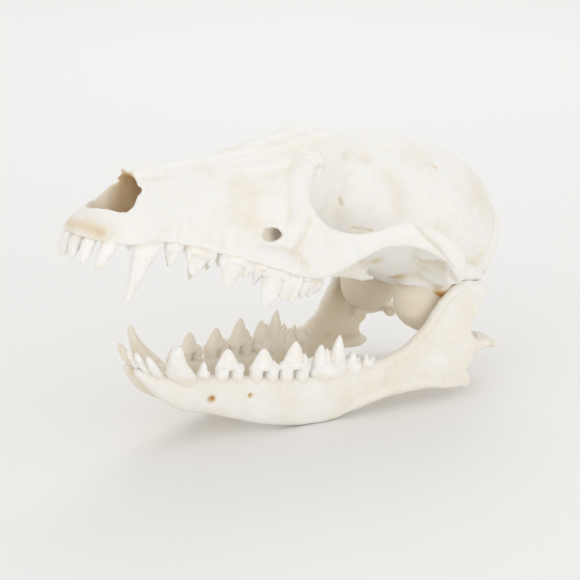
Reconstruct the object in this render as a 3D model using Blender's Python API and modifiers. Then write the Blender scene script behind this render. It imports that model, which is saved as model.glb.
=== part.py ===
# Red fox skull, life size: the cranium lies tipped back on the upright lower jaw.
# Snout towards -X, the animal's left side towards -Y, +Z up, resting on Z = 0.
# Stations and points are in millimetres. The cranium's x runs back from the front of the
# upper jaw and its z up from the upper tooth sockets. The lower jaw's x runs back from its
# own front and its z up from the lower tooth line. y is the distance from the midline.

import bmesh
import bpy
import math
import numpy as np
from mathutils import Vector

MM = 0.001
GAP = 0.3                     # between neighbouring bones
CRANIUM_PITCH = math.radians(17.7)
JAW_PITCH = math.radians(7.7)
JAW_SHIFT = (19.8, 0.0, -42.5)  # jaw's front point from the cranium's, after pitching
CRANIUM_VOXEL = 0.75
JAW_VOXEL = 0.6
CRANIUM_FACES = 5800
JAW_FACES = 1500
BULLA_SEGMENTS = (18, 11)
ROOT_DEPTH = 3.0
ROOT_WIDTH = 0.4               # of a cheek tooth's half-width, at the bottom of its root
UPPER_ROOT_LEAN = 1.6          # towards the midline, at the bottom of the root
LEFT, RIGHT = -1, 1

BONE = (0.86, 0.82, 0.74)
FACE_BONE = (0.88, 0.85, 0.79)
JAW_BONE = (0.85, 0.79, 0.69)
BULLA_BONE = (0.82, 0.74, 0.60)

for old in list(bpy.data.objects):
    bpy.data.objects.remove(old, do_unlink=True)

skull = bpy.data.collections.new("fox_skull")
bpy.context.scene.collection.children.link(skull)
workshop = bpy.data.collections.new("forms")
bpy.context.scene.collection.children.link(workshop)


def through(stations, x):
    """Smooth curve through rows of (position, values...), read at the positions x."""
    rows = np.asarray(stations, dtype=float)
    knots, values = rows[:, 0], rows[:, 1:]
    step = np.diff(knots)[:, None]
    slope = np.diff(values, axis=0) / step
    tangent = np.empty_like(values)
    tangent[0], tangent[-1] = slope[0], slope[-1]
    tangent[1:-1] = (slope[:-1] * step[1:] + slope[1:] * step[:-1]) / (step[1:] + step[:-1])
    i = np.clip(np.searchsorted(knots, x, side="right") - 1, 0, len(knots) - 2)
    t = ((x - knots[i]) / step[i, 0])[:, None]
    start, end = values[i], values[i + 1]
    pull = tangent[i] * step[i] * (t ** 3 - 2 * t ** 2 + t)
    push = tangent[i + 1] * step[i] * (t ** 3 - t ** 2)
    return start * (2 * t ** 3 - 3 * t ** 2 + 1) + end * (3 * t ** 2 - 2 * t ** 3) + pull + push


def round_section(count, power):
    """Points of a superellipse of half-size 1: (across, up)."""
    angle = np.linspace(0, 2 * math.pi, count, endpoint=False)
    c, s = np.cos(angle), np.sin(angle)
    return np.sign(c) * abs(c) ** (2 / power), np.sign(s) * abs(s) ** (2 / power)


def solid(name, rings):
    """Closed loft through an array of rings, shaped (ring, point, xyz)."""
    count, around = rings.shape[:2]
    quads = []
    for i in range(count - 1):
        for j in range(around):
            k = (j + 1) % around
            a, b = i * around, (i + 1) * around
            quads.append((a + j, a + k, b + k, b + j))
    quads.append(tuple(range(around - 1, -1, -1)))
    quads.append(tuple((count - 1) * around + j for j in range(around)))
    mesh = bpy.data.meshes.new(name)
    mesh.from_pydata((rings.reshape(-1, 3) * MM).tolist(), [], quads)
    return finished(name, mesh)


def finished(name, mesh):
    """Object of a mesh whose faces are turned outwards."""
    work = bmesh.new()
    work.from_mesh(mesh)
    bmesh.ops.recalc_face_normals(work, faces=work.faces)
    work.to_mesh(mesh)
    work.free()
    made = bpy.data.objects.new(name, mesh)
    workshop.objects.link(made)
    return made


def barrel(name, stations, steps=30, around=32, power=2.2, floor_power=None, taper=1.0):
    """Loft along x. Rows: x, half-width at top, half-width low, top, bottom."""
    x = np.linspace(stations[0][0], stations[-1][0], steps)
    top_half, low_half, top, low = through(stations, x).T[:, :, None]
    across, up = round_section(around, power)
    if floor_power:
        low_across, low_up = round_section(around, floor_power)
        across = np.where(up < 0, low_across, across)
        up = np.where(up < 0, low_up, up)
    half = low_half + (top_half - low_half) * ((up + 1) / 2) ** taper
    y = across * half
    z = (top + low) / 2 + up * (top - low) / 2
    return solid(name, np.stack([np.broadcast_to(x[:, None], y.shape), y, z], axis=2))


def path_places(stations, steps):
    """Smooth path through rows of (x, y, z-like values...), by distance along it."""
    rows = np.asarray(stations, dtype=float)
    along = np.concatenate([[0], np.cumsum(np.linalg.norm(np.diff(rows[:, :2], axis=0), axis=1))])
    return through(np.column_stack([along, rows]), np.linspace(0, along[-1], steps))


def blade(name, stations, side, steps=26, around=16, power=2.4):
    """Upright strap along a path. Rows: x, y, upper edge, lower edge, thickness."""
    x, y, top, low, thick = path_places(stations, steps).T
    way = np.gradient(np.column_stack([x, y]), axis=0)
    way /= np.linalg.norm(way, axis=1)[:, None]
    across, up = round_section(around, power)
    shift = across[None, :] * thick[:, None] / 2
    px = x[:, None] - way[:, 1:2] * shift
    py = y[:, None] + way[:, 0:1] * shift
    pz = ((top + low) / 2)[:, None] + up[None, :] * ((top - low) / 2)[:, None]
    return solid(name, np.stack([px, side * py, pz], axis=2))


def rod(name, stations, side=1, steps=18, around=14, flat=1.0):
    """Round bar along a path. Rows: x, y, z, radius. flat squeezes it in z."""
    rows = np.asarray(stations, dtype=float)
    along = np.concatenate([[0], np.cumsum(np.linalg.norm(np.diff(rows[:, :3], axis=0), axis=1))])
    places = through(np.column_stack([along, rows]), np.linspace(0, along[-1], steps))
    centre, radius = places[:, :3], places[:, 3]
    way = np.gradient(centre, axis=0)
    way /= np.linalg.norm(way, axis=1)[:, None]
    guide = np.array([0.31, 0.95, 0.11])
    one = np.cross(way, guide)
    one /= np.linalg.norm(one, axis=1)[:, None]
    two = np.cross(way, one)
    across, up = round_section(around, 2)
    ring = centre[:, None] + radius[:, None, None] * (
        one[:, None] * across[None, :, None] + two[:, None] * up[None, :, None])
    ring[:, :, 2] = centre[:, None, 2] + (ring[:, :, 2] - centre[:, None, 2]) * flat
    ring[:, :, 1] *= side
    return solid(name, ring)


def lump(name, centre, radii, turn=0.0, tip=0.0, segments=(24, 16)):
    """Ellipsoid turned about Z, then tipped about Y, both in degrees."""
    work = bmesh.new()
    bmesh.ops.create_uvsphere(work, u_segments=segments[0], v_segments=segments[1], radius=MM)
    bmesh.ops.scale(work, vec=radii, verts=work.verts)
    mesh = bpy.data.meshes.new(name)
    work.to_mesh(mesh)
    work.free()
    made = finished(name, mesh)
    made.rotation_euler = (0, math.radians(tip), math.radians(turn))
    made.location = Vector(centre) * MM
    bpy.context.view_layer.update()
    mesh.transform(made.matrix_world)
    made.rotation_euler = (0, 0, 0)
    made.location = (0, 0, 0)
    return made


def block(name, low_corner, high_corner, tip=0.0):
    """Box between two corners, tipped about Y through its middle, in degrees."""
    low, high = Vector(low_corner), Vector(high_corner)
    work = bmesh.new()
    bmesh.ops.create_cube(work, size=MM)
    bmesh.ops.scale(work, vec=high - low, verts=work.verts)
    mesh = bpy.data.meshes.new(name)
    work.to_mesh(mesh)
    work.free()
    made = finished(name, mesh)
    made.rotation_euler = (0, math.radians(tip), 0)
    made.location = (low + high) / 2 * MM
    bpy.context.view_layer.update()
    mesh.transform(made.matrix_world)
    made.rotation_euler = (0, 0, 0)
    made.location = (0, 0, 0)
    return made


def joined(name, pieces):
    """One object holding the meshes of several pieces, which are removed."""
    work = bmesh.new()
    for piece in pieces:
        work.from_mesh(piece.data)
    for piece in pieces:
        bpy.data.objects.remove(piece, do_unlink=True)
    mesh = bpy.data.meshes.new(name)
    work.to_mesh(mesh)
    work.free()
    made = bpy.data.objects.new(name, mesh)
    workshop.objects.link(made)
    return made


def settle(made):
    """Keeps an object's evaluated mesh and drops its modifiers."""
    bpy.context.view_layer.update()
    graph = bpy.context.evaluated_depsgraph_get()
    mesh = bpy.data.meshes.new_from_object(made.evaluated_get(graph))
    made.modifiers.clear()
    made.data = mesh
    return made


def cut(made, cutters, solver="EXACT"):
    """Takes closed cutters away from an object."""
    tool = joined(made.name + "_cutter", cutters)
    boolean = made.modifiers.new("cut", "BOOLEAN")
    boolean.operation = "DIFFERENCE"
    boolean.solver = solver
    boolean.use_self = solver == "EXACT"
    boolean.object = tool
    settle(made)
    bpy.data.objects.remove(tool, do_unlink=True)
    return made


def fused(name, pieces, cutters, voxel, faces, rounding=6):
    """Bone grown together from overlapping forms, hollowed by cutters, then thinned out."""
    bone = joined(name, pieces)
    weld = bone.modifiers.new("grow_together", "REMESH")
    weld.mode = "VOXEL"
    weld.voxel_size = voxel * MM
    settle(bone)
    if cutters:
        cut(bone, cutters)
        again = bone.modifiers.new("close_cuts", "REMESH")
        again.mode = "VOXEL"
        again.voxel_size = voxel * MM
    smooth = bone.modifiers.new("soften", "SMOOTH")
    smooth.factor = 0.5
    smooth.iterations = rounding
    settle(bone)
    bone.data.calc_loop_triangles()
    thin = bone.modifiers.new("thin_out", "DECIMATE")
    thin.ratio = faces / len(bone.data.loop_triangles)
    return settle(bone)


def islands(made):
    """Vertex index sets of an object's separate closed surfaces."""
    count = len(made.data.vertices)
    edges = np.empty(len(made.data.edges) * 2, dtype=int)
    made.data.edges.foreach_get("vertices", edges)
    edges = edges.reshape(-1, 2)
    label = np.arange(count)
    while True:
        low = np.minimum(label[edges[:, 0]], label[edges[:, 1]])
        new = label.copy()
        np.minimum.at(new, edges[:, 0], low)
        np.minimum.at(new, edges[:, 1], low)
        new = new[new]
        if np.array_equal(new, label):
            return label
        label = new


def pieces_of(made):
    """New objects, one for each separate closed surface of an object."""
    label = islands(made)
    found = []
    for mark in np.unique(label):
        work = bmesh.new()
        work.from_mesh(made.data)
        work.verts.ensure_lookup_table()
        spare = [vert for vert in work.verts if label[vert.index] != mark]
        bmesh.ops.delete(work, geom=spare, context="VERTS")
        mesh = bpy.data.meshes.new(made.name)
        work.to_mesh(mesh)
        work.free()
        found.append(finished(made.name + "_piece", mesh))
    bpy.data.objects.remove(made, do_unlink=True)
    return found


def bulk(made):
    """Volume of a closed object, in cubic metres."""
    work = bmesh.new()
    work.from_mesh(made.data)
    size = work.calc_volume()
    work.free()
    return size


def largest(made):
    """Keeps an object's largest closed surface."""
    name = made.name
    found = sorted(pieces_of(made), key=bulk)
    kept = found.pop()
    for scrap in found:
        bpy.data.objects.remove(scrap, do_unlink=True)
    kept.name = name
    return kept


def with_teeth(bone, teeth):
    """Fuses closed tooth solids into the bone by one union."""
    roots = bpy.data.collections.new("teeth")
    workshop.children.link(roots)
    for tooth in teeth:
        workshop.objects.unlink(tooth)
        roots.objects.link(tooth)
    union = bone.modifiers.new("fuse_teeth", "BOOLEAN")
    union.operation = "UNION"
    union.operand_type = "COLLECTION"
    union.solver = "MANIFOLD"
    union.collection = roots
    settle(bone)
    for tooth in teeth:
        bpy.data.objects.remove(tooth, do_unlink=True)
    bpy.data.collections.remove(roots)
    return largest(bone)


def cone_tooth(name, stations, side, around=8, steps=6):
    """Canine or incisor. Rows: x, y, z, half-length, half-width."""
    rows = np.asarray(stations, dtype=float)
    along = np.concatenate([[0], np.cumsum(np.linalg.norm(np.diff(rows[:, :3], axis=0), axis=1))])
    x, y, z, long_half, wide_half = through(
        np.column_stack([along, rows]), np.linspace(0, along[-1], steps)).T
    across, up = round_section(around, 2)
    px = x[:, None] + across[None, :] * long_half[:, None]
    py = y[:, None] + up[None, :] * wide_half[:, None]
    pz = np.broadcast_to(z[:, None], px.shape)
    return solid(name, np.stack([px, side * py, pz], axis=2))


def blade_tooth(name, front, back, gum, width, cusps, points_down, side, steps):
    """Premolar or molar. front and back are (x, y); cusps are (part of length, height)."""
    t = np.linspace(0, 1, steps)
    peaks = np.array([cusp[0] for cusp in cusps])
    t = np.unique(np.concatenate([t[(abs(t[:, None] - peaks) > 0.06).all(axis=1)], peaks]))
    length = math.hypot(back[0] - front[0], back[1] - front[1])
    shoulder = 0.24 * max(tall for part, tall in cusps)
    height = np.full_like(t, shoulder)
    for part, tall in cusps:
        nearness = np.clip(1 - abs(t - part) * length / (0.85 * tall), 0, 1)
        height = np.maximum(height, shoulder + (tall - shoulder) * nearness ** 1.5)
    half = width / 2 * np.sqrt(np.clip(1 - (2 * t - 1) ** 4, 0.1, 1))
    x = front[0] + (back[0] - front[0]) * t
    y = front[1] + (back[1] - front[1]) * t
    nx, ny = -(back[1] - front[1]) / length, (back[0] - front[0]) / length
    lean = UPPER_ROOT_LEAN if points_down else 0
    levels = [(-ROOT_WIDTH, -ROOT_DEPTH), (-1, 0), (-0.6, 0.6), (-0.12, 1),
              (0.12, 1), (0.6, 0.6), (1, 0), (ROOT_WIDTH, -ROOT_DEPTH)]
    rings = []
    for across, up in levels:
        rise = height * up if up > 0 else np.full_like(t, up)
        shift = across * half
        z = gum - rise if points_down else gum + rise
        inward = lean if up < 0 else 0
        rings.append(np.stack([x + nx * shift, side * (y - inward + ny * shift), z], axis=1))
    return solid(name, np.stack(rings, axis=1))


# Cranium forms

SOCKET_LINE = [  # x, height of the socket edge
    (-8.0, 0.4),
    (8.0, 0.5),
    (13.0, 1.2),
    (21.0, 3.0),
    (40.0, 2.8),
    (52.0, 2.2),
    (64.0, 1.2),
    (72.0, 0.2),
    (80.0, 0.2),
]
MUZZLE = [  # x, half-width at top, half-width low, top, bottom
    (-0.6, 1.7, 4.5, 3.1, -4.0),
    (1.2, 2.8, 7.4, 6.2, -6.0),
    (4.0, 4.2, 9.6, 8.8, -6.0),
    (8.0, 5.8, 11.0, 12.4, -6.0),
    (10.6, 5.8, 11.8, 16.2, -6.0),
    (12.8, 5.2, 12.4, 18.8, -5.6),
    (15.4, 4.8, 13.2, 19.9, -5.0),
    (24.0, 4.8, 12.4, 22.6, -4.4),
    (36.0, 6.0, 13.6, 26.4, -4.0),
    (44.0, 8.0, 15.6, 29.2, -4.0),
    (52.0, 10.0, 17.6, 32.2, -2.0),
    (58.0, 11.6, 18.0, 34.6, 2.0),
    (62.0, 12.2, 16.2, 36.0, 6.0),
    (66.0, 12.8, 13.8, 37.0, 11.0),
    (70.0, 12.6, 12.0, 38.0, 14.0),
    (74.0, 11.6, 10.6, 38.6, 16.0),
]
TOOTH_BED = [
    (26.0, 8.5, 12.2, 10.0, -3.0),
    (34.0, 10.4, 13.8, 10.0, -3.0),
    (42.0, 12.2, 16.0, 10.0, -3.0),
    (48.0, 15.0, 18.8, 10.0, -3.0),
    (54.0, 17.4, 21.8, 10.0, -3.0),
    (60.0, 18.4, 23.4, 9.0, -3.0),
    (66.0, 17.0, 22.4, 6.8, -3.0),
    (72.0, 13.6, 19.4, 5.6, -2.6),
    (76.6, 9.0, 14.0, 4.8, -1.0),
]
FOREHEAD = [
    (42.0, 7.0, 7.6, 27.6, 18.0),
    (52.0, 10.8, 10.0, 31.8, 16.0),
    (60.0, 12.8, 9.2, 35.8, 13.0),
    (66.0, 13.6, 9.0, 38.6, 10.0),
    (72.0, 13.4, 8.8, 41.0, 8.0),
    (76.0, 12.2, 8.8, 41.6, 8.0),
    (80.0, 11.2, 9.2, 41.4, 8.0),
    (84.0, 10.8, 9.8, 41.4, 9.0),
    (88.0, 9.6, 9.4, 41.0, 11.0),
]
BRAINCASE = [
    (76.0, 9.0, 7.0, 39.6, 12.0),
    (82.0, 11.8, 11.5, 41.4, 9.0),
    (88.0, 13.4, 14.6, 42.6, 6.6),
    (95.0, 16.4, 18.6, 43.6, 4.4),
    (104.0, 20.4, 23.6, 44.2, 2.8),
    (113.0, 21.6, 25.2, 44.2, 2.0),
    (122.0, 20.6, 24.6, 43.2, 2.0),
    (129.0, 18.0, 22.8, 41.4, 2.4),
    (135.0, 14.8, 20.6, 39.0, 3.0),
    (140.0, 10.2, 17.4, 35.4, 4.6),
    (144.0, 5.0, 12.6, 30.0, 7.4),
]
SKULL_BASE = [
    (70.0, 5.0, 6.6, 16.0, 9.0),
    (84.0, 5.0, 7.0, 15.0, 8.0),
    (98.0, 7.0, 9.0, 13.0, 4.4),
    (112.0, 8.0, 9.5, 12.0, 1.4),
    (126.0, 9.0, 10.0, 12.0, 0.6),
    (136.0, 8.0, 10.0, 13.0, 1.0),
    (140.0, 6.0, 8.0, 12.0, 3.0),
]
PALATE = [  # x, half-width at top, half-width low, height of the vault
    (5.0, 3.0, 5.0, 3.6),
    (16.0, 5.0, 7.4, 4.6),
    (34.0, 7.0, 8.8, 5.0),
    (50.0, 9.0, 11.4, 5.2),
    (64.0, 11.0, 13.4, 5.0),
    (78.0, 10.0, 11.0, 3.4),
]
NOSE_HOLLOW = [
    (4.8, 1.2, 1.6, 14.0, 7.0),
    (6.4, 5.0, 5.6, 22.0, 6.4),
    (9.0, 8.2, 8.6, 22.0, 5.6),
    (11.4, 8.2, 8.6, 21.0, 5.3),
    (13.2, 6.4, 7.4, 18.3, 5.2),
    (16.0, 5.2, 7.2, 18.3, 5.2),
    (26.0, 5.0, 6.8, 21.2, 5.6),
    (34.0, 4.6, 5.6, 22.4, 6.6),
    (38.0, 2.4, 2.6, 19.0, 11.0),
]
ARCH = [  # x, y, upper edge, lower edge, thickness
    (59.6, 13.6, 20.6, 4.0, 4.0),
    (62.4, 16.8, 21.6, 2.4, 3.4),
    (65.0, 19.6, 18.4, 1.4, 3.2),
    (68.0, 22.6, 16.3, 1.4, 3.0),
    (71.5, 25.4, 15.9, 4.0, 2.8),
    (76.5, 28.6, 17.2, 9.6, 2.5),
    (81.5, 30.8, 20.2, 13.8, 2.4),
    (87.0, 32.4, 22.6, 15.5, 2.4),
    (94.0, 34.0, 22.5, 15.6, 2.6),
    (101.0, 35.0, 20.6, 13.6, 2.8),
    (106.2, 34.8, 18.0, 10.8, 3.0),
    (110.6, 32.6, 14.6, 8.6, 3.2),
    (113.4, 28.4, 12.8, 7.2, 3.6),
    (114.6, 23.0, 12.6, 7.0, 4.4),
    (114.6, 18.0, 13.0, 7.0, 5.0),
]
PTERYGOID = [
    (68.0, 10.5, 8.0, 2.0, 2.4),
    (76.0, 7.8, 10.0, 0.6, 1.7),
    (84.0, 7.2, 10.0, 0.6, 1.6),
    (92.0, 7.4, 8.0, 1.0, 1.6),
    (98.0, 8.0, 6.0, 1.0, 1.4),
]
NUCHAL_CREST = [  # x, y, z, radius
    (143.8, -4.0, 29.6, 2.0),
    (143.6, 4.0, 29.2, 2.1),
    (141.2, 10.6, 26.2, 2.3),
    (137.8, 15.2, 21.0, 2.5),
    (133.8, 18.0, 14.8, 2.6),
    (129.8, 20.4, 11.2, 2.6),
]
NASAL_TIP = [
    (12.7, 2.2, 19.0, 0.8),
    (14.6, 2.5, 19.1, 1.2),
    (18.0, 2.7, 19.7, 1.4),
    (23.0, 2.8, 21.2, 1.3),
]
CANINE_RIDGE = [
    (17.4, 9.4, 3.0, 3.0),
    (20.2, 8.2, 7.0, 2.9),
    (25.0, 6.4, 12.0, 2.0),
]
POSTORBITAL = [
    (61.0, 8.0, 32.6, 3.8),
    (65.0, 11.2, 33.0, 3.0),
    (68.4, 14.2, 32.4, 1.1),
]
ORBIT_WALL = [
    (66.6, 10.4, 31.0, 3.0),
    (67.6, 9.4, 25.0, 3.2),
    (69.6, 8.6, 18.0, 2.8),
]
JOINT_LIP = [
    (112.8, 17.0, 8.6, 2.1),
    (112.6, 24.0, 7.6, 1.9),
    (111.2, 30.0, 8.8, 1.6),
]
JOINT_SOCKET = [
    (104.6, 16.0, 8.8, 4.2),
    (105.4, 24.0, 9.6, 5.0),
    (104.8, 31.0, 10.4, 3.8),
]
EAR_BASE = [
    (115.0, 21.0, 10.0, 2.8),
    (122.0, 22.2, 10.3, 2.8),
    (129.0, 21.4, 10.3, 2.6),
]
PAROCCIPITAL = [
    (131.0, 17.0, 8.0, 3.4),
    (130.0, 17.4, 0.0, 2.4),
    (129.0, 17.2, -5.0, 1.2),
]
HAMULUS = [
    (94.0, 7.6, 2.8, 1.0),
    (98.6, 8.2, 2.6, 0.9),
    (101.0, 8.6, 2.6, 0.6),
]
INFRAORBITAL_CANAL = [
    (48.0, 19.8, 8.6, 1.5),
    (53.5, 17.0, 10.2, 1.8),
    (58.0, 15.0, 11.4, 2.0),
    (67.0, 12.4, 13.4, 2.0),
]
BULLA = ((120.0, 13.4, -0.6), (11.4, 7.5, 9.6), 12.0)   # centre, radii, turn
FRONTAL_CUT_X = 88.0
CHEEK_FRONT = ((73.4, 12.6), -38.0)     # (x, z) on the suture and its lean from upright
CHEEK_BACK = ((98.2, 16.8), 38.0)       # (x, z) on the suture and its slope down


def cranium():
    forms = [
        barrel("muzzle", MUZZLE, power=2.5, floor_power=4, taper=1.8),
        barrel("tooth_bed", TOOTH_BED, power=3, floor_power=4, taper=1.8),
        barrel("forehead", FOREHEAD, power=3.6),
        barrel("braincase_form", BRAINCASE, steps=36, around=40, power=2.15),
        barrel("skull_base", SKULL_BASE, power=3),
        lump("between_condyles", (136.0, 0, 8.0), (6.0, 9.0, 6.5)),
    ]
    for side in (LEFT, RIGHT):
        forms += [
            rod("canine_root", CANINE_RIDGE, side),
            blade("arch", ARCH, side, steps=44),
            blade("pterygoid", PTERYGOID, side),
            rod("nuchal", NUCHAL_CREST, side),
            rod("nasal_tip", NASAL_TIP, side),
            rod("postorbital", POSTORBITAL, side, flat=0.6),
            rod("orbit_wall", ORBIT_WALL, side),
            lump("jaw_joint_shelf", (109.4, side * 23.6, 13.4), (6.8, 7.4, 4.2)),
            rod("joint_lip", JOINT_LIP, side),
            rod("ear_base", EAR_BASE, side),
            rod("paroccipital", PAROCCIPITAL, side),
            lump("condyle", (139.4, side * 7.2, 6.6), (4.6, 4.6, 5.6), turn=side * 20),
            rod("hamulus", HAMULUS, side),
        ]
    cutters = [
        barrel("below_sockets", [(x, 60, 60, z, -30) for x, z in SOCKET_LINE], power=8),
        barrel("palate_vault", [(x, top, low, z, z - 16) for x, top, low, z in PALATE], power=4),
        barrel("nose_hollow", NOSE_HOLLOW, power=2.4),
        lump("foramen_magnum", (143.0, 0, 11.0), (16.0, 6.2, 5.6), tip=14),
    ]
    for side in (LEFT, RIGHT):
        cutters += [
            rod("infraorbital", INFRAORBITAL_CANAL, side),
            rod("joint_socket", JOINT_SOCKET, side),
        ]
    bone = fused("cranium", forms, cutters, CRANIUM_VOXEL, CRANIUM_FACES)
    seats = []
    for side in (LEFT, RIGHT):
        centre, radii, turn = BULLA
        place = (centre[0], side * centre[1], centre[2])
        roomy = [radius + GAP for radius in radii]
        seats.append(lump("seat", place, roomy, turn=side * turn, segments=BULLA_SEGMENTS))
    near, far = FRONTAL_CUT_X - GAP / 2, FRONTAL_CUT_X + GAP / 2
    seats.append(block("frontal_cut", (near, -24, -8), (far, 24, 60)))
    for side in (LEFT, RIGHT):
        (x, z), lean = CHEEK_FRONT
        low, high = sorted((side * 20.5, side * 40.0))
        seats.append(block("cheek_front", (x - GAP / 2, low, z - 14), (x + GAP / 2, high, z + 14), tip=lean))
        (x, z), slope = CHEEK_BACK
        low, high = sorted((side * 30.0, side * 40.0))
        seats.append(block("cheek_back", (x - 14, low, z - GAP / 2), (x + 14, high, z + GAP / 2), tip=slope))
    return cut(bone, seats)


def upper_teeth():
    teeth = []
    for side in (LEFT, RIGHT):
        teeth += [
            cone_tooth("i1", [(5.0, 1.9, 4.0, 1.4, 1.1), (3.2, 1.8, 0.0, 1.7, 1.6),
                              (1.2, 1.9, -4.2, 1.2, 1.5), (0.6, 1.9, -6.3, 0.4, 0.9)], side),
            cone_tooth("i2", [(6.4, 4.9, 4.0, 1.5, 1.2), (4.2, 4.9, 0.0, 1.9, 1.7),
                              (2.3, 5.2, -4.4, 1.3, 1.6), (1.6, 5.3, -6.5, 0.4, 0.9)], side),
            cone_tooth("i3", [(9.0, 8.0, 4.0, 1.9, 1.4), (7.2, 8.1, 0.0, 2.6, 2.0),
                              (5.4, 8.4, -4.8, 1.6, 1.6), (4.6, 8.4, -7.3, 0.3, 0.4)], side),
            blade_tooth("p1", (23.6, 9.8), (28.8, 10.4), 3.2, 3.2, [(0.66, 6.9)], True, side, 5),
            blade_tooth("p2", (30.0, 10.9), (39.0, 12.5), 2.9, 3.6, [(0.4, 7.8), (0.8, 4.4)], True, side, 6),
            blade_tooth("p3", (40.2, 13.0), (49.8, 15.8), 2.8, 4, [(0.36, 9.6), (0.76, 5.2)], True, side, 6),
            blade_tooth("p4", (49.8, 16.4), (64, 20.4), 2.2, 5.0, [(0.4, 12.2), (0.8, 9.6)], True, side, 8),
            blade_tooth("p4_inner", (50.4, 15.4), (54.4, 13.2), 3.0, 3.4, [(0.6, 7.0)], True, side, 4),
            blade_tooth("m1", (64.0, 19.4), (70.2, 17.6), 1.4, 4.6, [(0.3, 7.8), (0.75, 7.2)], True, side, 5),
            blade_tooth("m1_inner", (64.2, 15.2), (69.2, 13.6), 1.4, 6.6, [(0.5, 4.6)], True, side, 4),
            blade_tooth("m2", (70.4, 16.8), (74.6, 15.2), 0.6, 4.6, [(0.35, 5.0), (0.8, 4.2)], True, side, 4),
        ]
    teeth.append(cone_tooth("canine", [(20.6, 8.2, 8.0, 2.4, 1.6), (18.0, 10.1, 2.0, 4.2, 2.7),
                                       (15.9, 11.3, -3.6, 2.8, 2.2), (14.9, 11.6, -9.0, 1.6, 1.4),
                                       (14.5, 11.5, -14.2, 0.5, 0.5)], LEFT, steps=9))
    return teeth


# Lower jaw forms

JAW_BODY = [  # x, y, upper edge, lower edge, thickness
    (-2.4, 2.2, 1.6, -0.2, 3.2),
    (0.0, 2.8, 1.2, -2.4, 4.8),
    (3.0, 3.7, 0.8, -5.4, 6.6),
    (8.0, 5.2, 0.2, -9.0, 8.6),
    (14.0, 6.2, -0.4, -10.9, 8.4),
    (21.0, 7.6, -0.8, -12.0, 6.8),
    (33.0, 10.4, -1.4, -14.6, 6.2),
    (45.0, 12.6, -2.0, -16.1, 6.6),
    (56.0, 14.6, -1.2, -15.3, 6.8),
    (65.0, 16.2, 0.6, -12.4, 6.2),
    (73.0, 18.4, 1.4, -9.6, 5.0),
]
RAMUS = [
    (62.0, 16.0, -1.0, -13.0, 4.6),
    (70.0, 18.0, 0.8, -9.2, 3.6),
    (77.0, 19.6, 4.6, -7.4, 2.8),
    (83.0, 21.4, 11.0, -6.4, 2.4),
    (87.5, 22.6, 18.0, -6.0, 2.2),
    (91.5, 23.6, 24.0, -5.9, 2.1),
    (96.0, 24.4, 26.6, -6.0, 2.0),
    (100.0, 24.8, 26.4, -6.2, 1.9),
    (102.6, 25.0, 25.6, -6.2, 1.8),
]
FRONT_RIDGE = [
    (70.0, 17.6, -0.2, 2.2),
    (77.6, 19.6, 3.4, 1.8),
    (84.6, 21.9, 11.0, 1.5),
    (90.6, 23.6, 21.6, 1.2),
    (95.6, 24.4, 25.2, 1.1),
]
LEDGE = [
    (58.0, 15.2, -13.0, 2.2),
    (68.0, 18.4, -8.5, 2.0),
    (80.0, 20.8, -5.5, 1.9),
    (92.0, 22.2, -4.5, 1.7),
    (100.0, 22.9, -4.8, 1.5),
]
CONDYLE_NECK = [
    (95.0, 23.4, 5.4, 1.6),
    (101.5, 23.6, 6.3, 2.3),
    (106.0, 23.4, 6.4, 2.1),
    (109.0, 23.6, 6.6, 1.8),
]
ANGULAR_PROCESS = [
    (94.0, 22.6, -4.4, 1.9),
    (99.6, 23.2, -4.6, 1.8),
    (102.8, 23.6, -4.2, 1.1),
]
CONDYLE_BAR = [
    (104.8, 15.6, 6.4, 1.5),
    (107.6, 19.0, 6.7, 2.4),
    (109.0, 22.6, 6.8, 2.2),
    (109.4, 25.4, 6.9, 1.5),
    (109.4, 27.6, 7.0, 0.6),
]

JAW_NOTCHES = [                # centre and radii: above and below the condyle
    ((105.8, 24.8, 12.8), (5.8, 7.0, 5.0)),
    ((104.8, 24.8, -0.5), (4.4, 7.0, 2.9)),
]


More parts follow.
